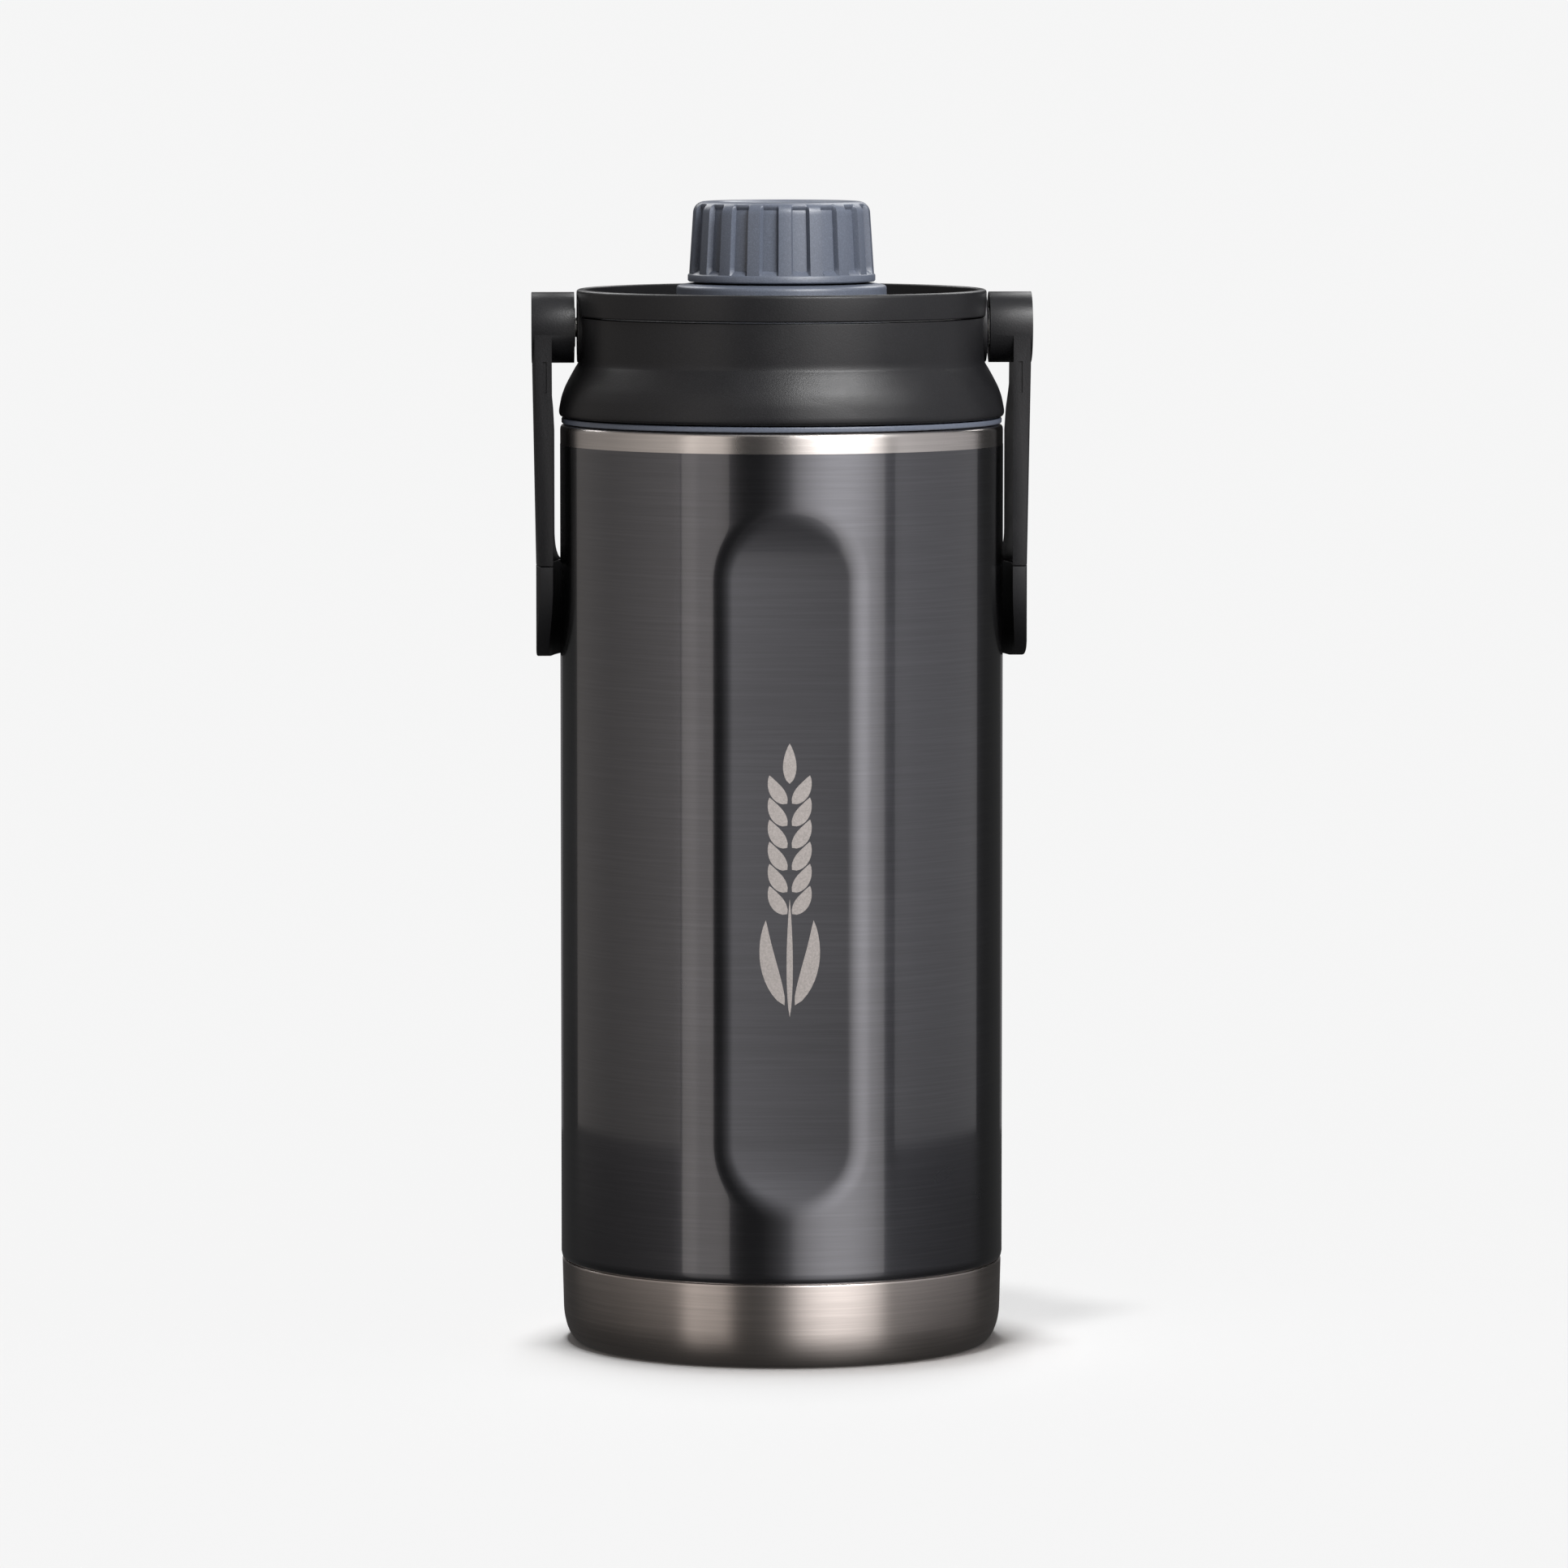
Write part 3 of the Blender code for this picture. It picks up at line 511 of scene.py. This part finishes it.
def make_base_cup(paint):
    foot = 0.0519
    bulge = BASE_RADIUS - foot - 0.0003
    top = BAND_TOP - 0.0003
    corner_height = 0.0100
    corner = corners_of(arc(foot, corner_height, bulge, corner_height, 0, -90, 12))
    inner_height = corner_height - SHEET
    inner_corner = corners_of(arc(foot, corner_height, bulge - SHEET, inner_height, -90, 0, 6))
    lap = BODY_RADIUS - SHEET - 0.0003
    corners = [(lap, top + 0.0053, 0), (lap, top, 0.0001), (BASE_RADIUS, top, 0.0005)] + corner
    corners += [(0.0424, 0.0, 0.0003), (0.0420, 0.0015, 0.0002), (0.0050, 0.0015, 0.0003),
                (0.0040, 0.0030, 0.0003),
                (0.0010, 0.0030, 0), (0.0010, 0.0038, 0), (0.0044, 0.0038, 0.0002), (0.0054, 0.0023, 0.0002),
                (0.0424, 0.0023, 0)]
    corners += inner_corner + [(BASE_RADIUS - SHEET, top - 0.0012, 0), (lap - SHEET, top + 0.0002, 0),
                               (lap - SHEET, top + 0.0053, 0)]
    cup = turned("base_cup_steel", corners)
    # The cup takes the darker copy of the steel, painted shade for the ground's dark reflection
    return piece(cup, "vessel", "brushed_steel", paint["base"], "base_cup")


def make_flask(paint):
    bottom = low("inner_flask")
    shoulder = 0.2240
    bend = 0.012
    bore = FLASK_RADIUS - SHEET
    neck = MOUTH_RADIUS + SHEET
    corners = [(0, bottom + SHEET, 0)] + corners_of(arc(bore - bend, bottom + SHEET + bend, bend, bend,
                                                        -90, 0, 10))
    corners += [(bore, shoulder, 0.004), (MOUTH_RADIUS + 0.0016, 0.2350, 0.002),
                (MOUTH_RADIUS, 0.2385, 0.001),
                (MOUTH_RADIUS, RIM_Z, 0.0005), (NECK_RADIUS + 0.0002, RIM_Z, 0.0006),
                (NECK_RADIUS + 0.0002, RIM_Z - 0.0010, 0.0002), (neck, RIM_Z - 0.0010, 0),
                (neck, 0.2387, 0.001), (neck + 0.0016, 0.2354, 0.002), (FLASK_RADIUS, shoulder, 0.004)]
    corners += corners_of(arc(FLASK_RADIUS - bend, bottom + bend, bend, bend, 0, -90, 10)) + [(0, bottom, 0)]
    flask = turned("flask_liner", corners, closed=False)
    return piece(flask, "vessel", "inner_steel", paint["inner"], "inner_flask")


def paint_base_fittings(paint):
    for node, slot in (("base_disc", "steel"), ("vacuum_seal", "solder"), ("getter", "getter")):
        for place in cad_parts[node].material_slots:
            place.material = paint[slot]


# Etched barley ear in the front recess

def leaf_outline(x, z, length, width, angle, bend=0.0):
    """A pointed oval that starts at (x, z), leans by angle and curves by bend."""
    count = 12
    left, right = [], []
    for i in range(count + 1):
        t = i / count
        half = width / 2 * math.sin(math.pi * t ** 0.8) ** 0.8
        lean = angle + bend * t
        left.append((x - math.cos(lean) * half, z + math.sin(lean) * half))
        right.append((x + math.cos(lean) * half, z - math.sin(lean) * half))
        x += math.sin(lean) * length / count
        z += math.cos(lean) * length / count
    return left + right[-2:0:-1]


def mark_outlines():
    bottom = MARK_Z - MARK_HEIGHT / 2
    outlines = [leaf_outline(0, bottom, 0.0300, 0.0016, 0)]
    for side in (-1, 1):
        outlines.append(leaf_outline(side * 0.0013, bottom + 0.0030, 0.0225, 0.0042, side * 0.50,
                                     side * -0.62))
        for row in range(6):
            z = bottom + 0.0262 + row * 0.0056
            outlines.append(leaf_outline(side * 0.0006, z, 0.0086, 0.0036, side * 0.85, side * -0.62))
    outlines.append(leaf_outline(0, bottom + 0.0592, MARK_HEIGHT - 0.0592, 0.0034, 0))
    return outlines


def make_mark(paint):
    front = -(RECESS_FLOOR - 0.00009)
    work = bmesh.new()
    for outline in mark_outlines():
        face = work.faces.new([work.verts.new((x, front, z)) for x, z in outline])
        moved = bmesh.ops.extrude_face_region(work, geom=[face])["geom"]
        corners = [item for item in moved if isinstance(item, bmesh.types.BMVert)]
        bmesh.ops.translate(work, verts=corners, vec=(0, 0.0002, 0))
    bmesh.ops.recalc_face_normals(work, faces=work.faces)
    return piece(new_object("etched_mark", work), "vessel", "brushed_steel", paint["etched"])


# Lid

def lug_parts(name, radius, span, fillet=0.0):
    return [rod(f"{name}_{side}", radius, side * span[0], side * span[1], fillet, 72) for side in (-1, 1)]


def make_lid_gasket(paint):
    bottom, top = low("lid_gasket"), high("lid_gasket")
    corners = [(0.0430, top, 0.0003), (0.0469, top, 0.0006), (0.0469, bottom, 0.0006),
               (0.0430, bottom, 0.0003)]
    return piece(turned("gasket_ring", corners), "lid_gasket_carrier", "silicone", paint["silicone"],
                 "lid_gasket")


def make_inner_lid(paint):
    wall = 0.0016
    plug_bottom = 0.2453
    ceiling = RIM_Z + 0.0024
    liner_top = 0.2623
    liner_radius = 0.0490
    flange_top = 0.2390
    collar_bore = COLLAR_RADIUS - wall
    corners = [(SPOUT_RADIUS, SPOUT_TOP, 0.0008), (SPOUT_RADIUS, COLLAR_TOP, 0.0008),
               (COLLAR_RADIUS - 0.0030, COLLAR_TOP - 0.0002, 0.001),
               (COLLAR_RADIUS, COLLAR_TOP - 0.0007, 0.0009),
               (COLLAR_RADIUS, liner_top + 0.0007, 0), (collar_bore, liner_top + 0.0007, 0),
               (collar_bore, COLLAR_TOP - 0.0020, 0), (SPOUT_RADIUS, COLLAR_TOP - 0.0020, 0),
               (SPOUT_RADIUS, plug_bottom + wall, 0), (PLUG_RADIUS - wall, plug_bottom + wall, 0),
               (PLUG_RADIUS - wall, liner_top, 0), (liner_radius, liner_top, 0),
               (liner_radius, flange_top, 0.0004),
               (FLANGE_RADIUS, flange_top, 0.0004), (FLANGE_RADIUS, low("inner_lid"), 0.0004),
               (LINER_BORE, low("inner_lid"), 0.0005), (LINER_BORE, ceiling, 0.0004),
               (PLUG_RADIUS, ceiling, 0.0004),
               (PLUG_RADIUS, plug_bottom, 0.0010), (SPOUT_BORE, plug_bottom, 0.0008),
               (SPOUT_BORE, SPOUT_TOP, 0.0008)]
    liner = turned("lid_liner", corners)
    inner_thread = ridge("liner_thread", LINER_BORE + 0.0004, LINER_BORE - 0.0015, LID_LEAD,
                         LID_THREAD_Z + LID_LEAD / 2 + 0.0002, LID_THREAD_WIDTHS)
    spout_thread = ridge("spout_thread", SPOUT_RADIUS - 0.0004, SPOUT_RADIUS + 0.0012, CAP_LEAD, CAP_THREAD_Z,
                         CAP_THREAD_WIDTHS)
    join(liner, [inner_thread, spout_thread])
    return piece(liner, "lid", "slate_plastic", paint["slate"], "inner_lid")


def make_insulation(paint):
    inner = SPOUT_RADIUS + 0.0005
    outer = PLUG_RADIUS - 0.0020
    step = COLLAR_RADIUS - 0.0021
    corners = [(inner, 0.2712, 0), (step, 0.2712, 0.0006), (step, 0.2622, 0), (outer, 0.2622, 0.0006),
               (outer, 0.2473, 0.0006), (inner, 0.2473, 0)]
    return piece(turned("foam_ring", corners, SMALL), "lid", "foam", paint["foam"], "lid_insulation")


def make_lid_shell(paint):
    plate_bottom = 0.2627
    hole = COLLAR_RADIUS + 0.0004
    seat = high("lid_shell")
    neck = 0.0521
    outside = [(hole, DISH_FLOOR, 0.0004), (0.0484, DISH_FLOOR, 0), (0.0484, seat, 0), (neck, seat, 0.0003),
               (neck, 0.2533, 0.0016), (0.0530, 0.2519, 0.001), (0.0544, 0.2494, 0.001),
               (0.0557, 0.2469, 0.001),
               (0.0566, 0.2444, 0.001), (0.0571, 0.2419, 0.001), (SKIRT_RADIUS, 0.2406, 0.0006),
               (0.0571, 0.2397, 0.0004), (0.0566, SKIRT_BOTTOM, 0.0002)]
    inside = [(0.0554, SKIRT_BOTTOM, 0), (0.0553, 0.2419, 0), (0.0546, 0.2446, 0), (0.0534, 0.2474, 0),
              (0.0518, 0.2502, 0), (0.0496, 0.2530, 0), (0.0496, plate_bottom, 0), (hole, plate_bottom, 0)]
    shell = turned("lid_cover", outside + inside)
    pockets = lug_parts("lug_pocket", 0.0094, (0.0507, BAIL_RADIUS))
    bores = lug_parts("shell_bore", 0.0028, (0.0487, BAIL_RADIUS))
    combine(shell, pockets + bores, "DIFFERENCE")
    return piece(shell, "lid", "black_plastic", paint["black"], "lid_shell")


def make_handle_ring(paint):
    radius = 0.0527
    inner = radius - 0.0021
    foot = 0.0488
    floor = RING_BOTTOM + 0.0019
    corners = [(inner, RING_TOP, 0.0005), (radius, RING_TOP, 0.0009), (radius, RING_BOTTOM, 0.0005),
               (foot, RING_BOTTOM, 0.0002), (foot, floor, 0.0003), (inner, floor, 0.0004)]
    ring = turned("handle_ring_moulding", corners)
    combine(ring, lug_parts("lug", 0.0090, (0.0510, 0.0526), 0.0004), "UNION")
    combine(ring, lug_parts("ring_bore", 0.0028, (0.0487, BAIL_RADIUS)), "DIFFERENCE")
    return piece(ring, "lid", "black_plastic", paint["black"], "handle_ring")


def make_pins(paint):
    for label, side in (("left", -1), ("right", 1)):
        pin = rod(f"pin_{label}", PIN_RADIUS, side * PIN_INNER_X, side * PIN_OUTER_X, 0.0005)
        piece(pin, "lid", "pin_steel", paint["pin"], f"pivot_pin_{label}")
        washer = rod(f"washer_{label}", 0.0050, side * 0.05305, side * 0.05395, 0.0001)
        combine(washer, [rod("washer_bore", 0.0028, side * 0.050, side * 0.058)], "DIFFERENCE")
        piece(washer, "handle", "acetal", paint["acetal"], f"pivot_washer_{label}")


# Twist cap

def groove_depth(angle, z, lowest, highest):
    """Depth of the 18 finger grooves at one point of the cap's side."""
    count = 18
    pitch = math.tau / count
    from_rib = (angle + math.pi / 2 + pitch / 2) % pitch - pitch / 2
    across = abs(abs(from_rib) - pitch / 2) / (pitch / 2)
    side = min(max((0.58 - across) / 0.10, 0.0), 1.0)
    ends = min(max((z - lowest) / 0.0005, 0.0), 1.0) * min(max((highest - z) / 0.0012, 0.0), 1.0)
    ease = side * side * (3 - 2 * side)
    return 0.0014 * ease * ends


def make_cap(paint):
    flange_top = CAP_BOTTOM + 0.0020
    lower_radius, upper_radius = 0.0238, 0.0228
    bend = 0.0030
    steps = 18 * 30
    side = [(CAP_RADIUS, CAP_BOTTOM + 0.0003), (CAP_RADIUS, flange_top - 0.0004),
            (CAP_RADIUS - 0.0002, flange_top - 0.0001), (lower_radius, flange_top)]
    side += [(lower_radius + (upper_radius - lower_radius) * i / 14,
              flange_top + (CAP_TOP - bend - flange_top) * i / 14) for i in range(1, 15)]
    side += arc(upper_radius - bend, CAP_TOP - bend, bend, bend, 0, 90, 8)[1:]
    dish = [(0.0165, CAP_TOP), (0.0160, CAP_TOP - 0.0001), (0.0155, CAP_TOP - 0.0005),
            (0.0, CAP_TOP - 0.0005)]
    roof = CAP_TOP - 0.0025
    inside = [(0, roof), (0.0207, roof), (0.0207, CAP_BOTTOM), (CAP_RADIUS - 0.0003, CAP_BOTTOM)]
    rows = []
    for r, z in inside + side + dish:
        row = []
        for i in range(steps):
            angle = math.tau * i / steps
            cut = groove_depth(angle, z, flange_top, CAP_TOP - 0.0006) if r > 0.0208 else 0.0
            row.append(((r - cut) * math.cos(angle), (r - cut) * math.sin(angle), z))
        rows.append(row)
    cap = skin("twist_cap", rows, False)
    return piece(cap, "cap", "slate_plastic", paint["slate"], "cap_shell")


def make_cap_inside(paint):
    top = high("cap_liner")
    bottom = low("cap_liner")
    outer = 0.0204
    bore = 0.0189
    corners = [(0, top, 0), (outer, top, 0.0003), (outer, bottom, 0.0003), (bore, bottom, 0.0003),
               (bore, top - 0.0015, 0.0003), (0, top - 0.0015, 0)]
    liner = turned("cap_inner_thread", corners, SMALL, closed=False)
    thread = ridge("cap_thread", bore + 0.0004, bore - 0.0012, CAP_LEAD, CAP_THREAD_Z + CAP_LEAD / 2 + 0.0001,
                   CAP_THREAD_WIDTHS)
    join(liner, [thread])
    piece(liner, "cap", "slate_plastic", paint["slate"], "cap_liner")
    seal_top, seal_bottom = high("cap_seal"), low("cap_seal")
    seal = turned("seal_disc", [(0, seal_top, 0), (0.0180, seal_top, 0.0005), (0.0180, seal_bottom, 0.0005),
                                (0, seal_bottom, 0)], SMALL, closed=False)
    piece(seal, "cap_seal_carrier", "silicone", paint["silicone"], "cap_seal")


# Bail handle; outlines are (y, z) from the pins

def arm_outline():
    crown = BOSS_RADIUS - 0.0002
    outline = arc(0, 0, crown, crown, 0, 180, 20)
    outline += [(BAIL_FRONT, -0.0500), (BAIL_FRONT, BAIL_SEAM), (BAIL_REAR + BAIL_FILLET, BAIL_SEAM)]
    outline += arc(BAIL_REAR + BAIL_FILLET, BAIL_SEAM + BAIL_FILLET, BAIL_FILLET, BAIL_FILLET, 270, 180,
                   10)[1:]
    outline += [(BAIL_REAR, -0.0270), (BAIL_REAR - 0.0012, -0.0215), (BOSS_RADIUS + 0.0004, -0.0150)]
    return outline


def grip_outline(inset, top, rear_top):
    corner = BAIL_CORNER - inset
    front = BAIL_FRONT + inset
    bottom = BAIL_BOTTOM + inset
    outline = [(front, top)] + arc(front + corner, bottom + corner, corner, corner, 180, 270, 16)
    outline += [(BAIL_REACH, bottom), (BAIL_REACH, rear_top)]
    if top > rear_top:
        outline += [(BAIL_REAR - inset, rear_top), (BAIL_REAR - inset, top)]
    return outline


def band(name, outline, inner, upper_radius, lower_radius):
    """The part of a slightly tapered tube that lies inside an outline seen from the side."""
    top = PIN_CENTRE_Z + 0.0120
    corners = [(inner, top, 0), (upper_radius, top, 0), (upper_radius, PIN_CENTRE_Z, 0),
               (lower_radius, PIN_CENTRE_Z + BAIL_SEAM, 0), (lower_radius, PIN_CENTRE_Z - 0.0900, 0),
               (inner, PIN_CENTRE_Z - 0.0900, 0)]
    tube = turned(name, corners, 144)
    return combine(tube, [prism(f"{name}_outline", outline, BAIL_REACH)], "INTERSECT")


def arm_slots():
    """Shallow slots down the front edges of both arms."""
    crown = BOSS_RADIUS - 0.0002
    outline = []
    for z, step in ((-0.0085, -0.0020), (-0.0085, 0.0004), (-0.0165, 0.0004), (-0.0165, -0.0020)):
        outline.append((-crown + (BAIL_FRONT + crown) * z / -0.0500 + step, z))
    slots = []
    for side in (-1, 1):
        slot = prism(f"arm_slot_{side}", outline, 0.0005)
        slot.location.x = side * 0.0610
        slots.append(slot)
    return slots


def make_bail(paint):
    bail = band("bail_arms", arm_outline(), BAIL_INNER_RADIUS, BAIL_RADIUS, BAIL_LOW_RADIUS)
    bosses = [rod(f"boss_{side}", BOSS_RADIUS, side * BOSS_INNER_X, side * (BAIL_RADIUS - 0.0001), 0.0, 72)
              for side in (-1, 1)]
    combine(bail, bosses, "UNION")
    soften_edges(bail, 0.0014)
    tools = lug_parts("boss_bore", 0.0028, (0.050, PIN_OUTER_X + 0.0003))
    tools += lug_parts("washer_seat", 0.0053, (0.050, 0.05425))
    combine(bail, tools + arm_slots(), "DIFFERENCE")
    piece(bail, "handle", "black_plastic", paint["black"], "handle_bail")


def make_grip(paint):
    grip = band("bail_grip", grip_outline(0.0, BAIL_SEAM - 0.0003, BAIL_SEAM - 0.0003), BAIL_INNER_RADIUS,
                BAIL_RADIUS, BAIL_LOW_RADIUS)
    soften_edges(grip, 0.0014)
    piece(grip, "handle", "black_grip", paint["grip"], "handle_grip")


# Studio

CAMERA_AZIMUTH = math.radians(-2.2)
CAMERA_DISTANCE = 2.40
CAMERA_HEIGHT = 0.350
CAMERA_PITCH = math.radians(4.90)
FLOOR_LEVEL = 0.924


def make_camera():
    lens = bpy.data.cameras.new("camera")
    lens.lens = 214.3
    lens.sensor_width = 36.0
    lens.clip_end = 2000.0
    camera = bpy.data.objects.new("camera", lens)
    bpy.context.scene.collection.objects.link(camera)
    turn = Matrix.Rotation(CAMERA_AZIMUTH, 4, "Z")
    camera.location = turn @ Vector((0.00063, -CAMERA_DISTANCE, CAMERA_HEIGHT))
    camera.rotation_euler = (math.pi / 2 - CAMERA_PITCH, 0, CAMERA_AZIMUTH)
    bpy.context.scene.camera = camera


def make_floor():
    bpy.ops.mesh.primitive_plane_add(size=900.0)
    floor = bpy.context.object
    floor.name = "floor"
    paint = Paint("pale_floor", (0.80, 0.80, 0.80), 0.9, 0.0, specular_ior_level=0.0)
    floor.data.materials.append(paint.material)
    floor.visible_glossy = False
    floor.visible_shadow = False
    return floor


def make_world():
    """A pale backdrop to the camera, a soft dome to matt surfaces, a dim room in reflections."""
    world = bpy.data.worlds.new("studio")
    bpy.context.scene.world = world
    world.use_nodes = True
    tree = world.node_tree
    tree.nodes.clear()
    shades = []
    for level in (0.042, 0.14, FLOOR_LEVEL):
        shade = tree.nodes.new("ShaderNodeBackground")
        shade.inputs["Color"].default_value = (level, level, level, 1.0)
        shades.append(shade.outputs["Background"])
    rays = tree.nodes.new("ShaderNodeLightPath")
    result = shades[0]
    for shade, ray in ((shades[1], "Is Diffuse Ray"), (shades[2], "Is Camera Ray")):
        mix = tree.nodes.new("ShaderNodeMixShader")
        tree.links.new(rays.outputs[ray], mix.inputs["Fac"])
        tree.links.new(result, mix.inputs[1])
        tree.links.new(shade, mix.inputs[2])
        result = mix.outputs["Shader"]
    output = tree.nodes.new("ShaderNodeOutputWorld")
    tree.links.new(result, output.inputs["Surface"])


def make_sun(name, azimuth, elevation, strength, softness, receivers):
    """A light for the floor alone."""
    light = bpy.data.lights.new(name, "SUN")
    light.energy = strength
    light.angle = math.radians(softness)
    sun = bpy.data.objects.new(name, light)
    bpy.context.scene.collection.objects.link(sun)
    sun.rotation_euler = (math.radians(90 - elevation), 0, CAMERA_AZIMUTH + math.radians(azimuth))
    sun.light_linking.receiver_collection = receivers


def bounce_spot(azimuth, distance):
    """Where light that the body turns away at this azimuth meets a ring of this radius."""
    half = azimuth / 2
    start = Vector((math.sin(half), -math.cos(half))) * BODY_RADIUS
    aim = Vector((math.sin(azimuth), -math.cos(azimuth)))
    along = start.dot(aim)
    reach = math.sqrt(along * along - BODY_RADIUS ** 2 + distance ** 2) - along
    return Matrix.Rotation(CAMERA_AZIMUTH, 2) @ (start + aim * reach)


def glow(name, colour):
    """Light whose strength is stored on the card's corners."""
    material = bpy.data.materials.new(name)
    material.use_nodes = True
    tree = material.node_tree
    tree.nodes.clear()
    level = tree.nodes.new("ShaderNodeAttribute")
    level.attribute_name = "level"
    shader = tree.nodes.new("ShaderNodeEmission")
    shader.inputs["Color"].default_value = (*colour, 1.0)
    output = tree.nodes.new("ShaderNodeOutputMaterial")
    tree.links.new(level.outputs["Fac"], shader.inputs["Strength"])
    tree.links.new(shader.outputs["Emission"], output.inputs["Surface"])
    return material


def make_card(name, stops, distance, heights, colour, unlit):
    """A curved upright light card; stops are (azimuth in degrees, radiance), heights (z, share of it)."""
    work = bmesh.new()
    columns, levels = [], []
    for (start, from_level), (end, to_level) in zip(stops, stops[1:]):
        count = max(1, round(abs(end - start) / 3))
        for i in range(count + 1):
            t = i / count
            spot = bounce_spot(math.radians(start + (end - start) * t), distance)
            columns.append([work.verts.new((spot.x, spot.y, z)) for z, share in heights])
            levels += [(from_level + (to_level - from_level) * t) * share for z, share in heights]
    for a, b in zip(columns, columns[1:]):
        for k in range(len(heights) - 1):
            work.faces.new((a[k], b[k], b[k + 1], a[k + 1]))
    card = new_object(name, work)
    attribute = card.data.attributes.new("level", "FLOAT", "POINT")
    attribute.data.foreach_set("value", levels)
    card.data.materials.append(glow(name, colour))
    card.visible_camera = False
    card.visible_diffuse = False
    card.visible_shadow = False
    card.light_linking.receiver_collection = unlit


def make_softbox(name, azimuth, elevation, distance, size, radiance, unlit):
    light = bpy.data.lights.new(name, "AREA")
    light.shape = "SQUARE"
    light.size = size
    light.energy = radiance * math.pi * size * size
    box = bpy.data.objects.new(name, light)
    bpy.context.scene.collection.objects.link(box)
    turn = Matrix.Rotation(CAMERA_AZIMUTH + math.radians(azimuth), 4, "Z")
    tilt = Matrix.Rotation(math.radians(90 - elevation), 4, "X")
    aim = turn @ tilt
    box.matrix_world = Matrix.Translation(aim @ Vector((0, 0, distance)) + Vector((0, 0, 0.2))) @ aim
    box.visible_camera = False
    box.light_linking.receiver_collection = unlit


def make_lights(floor):
    unlit = bpy.data.collections.new("unlit_by_cards")
    unlit.objects.link(floor)
    unlit.collection_objects[0].light_linking.link_state = "EXCLUDE"
    only_floor = bpy.data.collections.new("lit_by_suns")
    only_floor.objects.link(floor)
    warm = (1.0, 0.935, 0.89)
    white = (1.0, 0.965, 0.955)
    cool = (1.0, 0.98, 1.0)
    side = [(0.0, 1.0), (0.9, 1.0)]
    front = [(-0.6, 0.20), (-0.18, 0.45), (-0.11, 1.15), (0.19, 1.0), (1.1, 1.2)]
    make_card("left_card", [(-134, 0.27), (-100, 0.34), (-84, 0.44), (-66, 0.56), (-54, 0.60)], 0.50, side,
              warm, unlit)
    make_card("left_strip", [(-53, 1.20), (-46, 1.15), (-43, 0.85), (-32, 0.90), (-27, 0.85)], 1.0, front,
              warm, unlit)
    make_card("front_card", [(-9, 0.06), (-4, 0.12), (0, 0.18), (4, 0.35), (8, 1.00), (14, 1.42), (24, 1.72),
                             (36, 1.70), (46, 1.42), (55, 1.08)], 1.0, front, white, unlit)
    make_card("right_card", [(61, 0.74), (75, 0.64), (123, 0.44)], 0.50, side, cool, unlit)
    for side_of in (-1, 1):
        make_card(f"back_card_{side_of}", [(side_of * 163, 0.14), (side_of * 179, 0.18)], 2.0,
                  [(-0.19, 1.0), (1.2, 1.0)], cool, unlit)
    make_softbox("key", 36, 42, 1.3, 0.7, 20.0, unlit)
    make_softbox("top", -20, 80, 1.4, 0.9, 0.8, unlit)
    make_softbox("rear_left", -145, 40, 1.6, 0.9, 5.0, unlit)
    make_softbox("rear_right", 155, 40, 1.6, 0.9, 4.0, unlit)
    for azimuth, lean, strength in ((-150, 1.5, 1.48), (-172, 4.0, 0.44), (-175, 6.2, 0.30),
                                    (-178, 8.7, 0.15), (180, 11.8, 0.12)):
        make_sun(f"floor_above_{lean}", azimuth, 90 - lean, strength, 4.5, only_floor)
    make_sun("floor_left", -23, 77, 0.70, 5, only_floor)


def main():
    paint = make_paints()
    make_coated_body(paint)
    make_bare_shoulder(paint)
    make_base_cup(paint)
    make_flask(paint)
    paint_base_fittings(paint)
    make_mark(paint)
    make_lid_gasket(paint)
    make_inner_lid(paint)
    make_insulation(paint)
    make_lid_shell(paint)
    make_handle_ring(paint)
    make_pins(paint)
    make_cap(paint)
    make_cap_inside(paint)
    make_bail(paint)
    make_grip(paint)
    make_camera()
    make_world()
    make_lights(make_floor())
    bpy.context.scene.view_settings.view_transform = "Standard"


main()
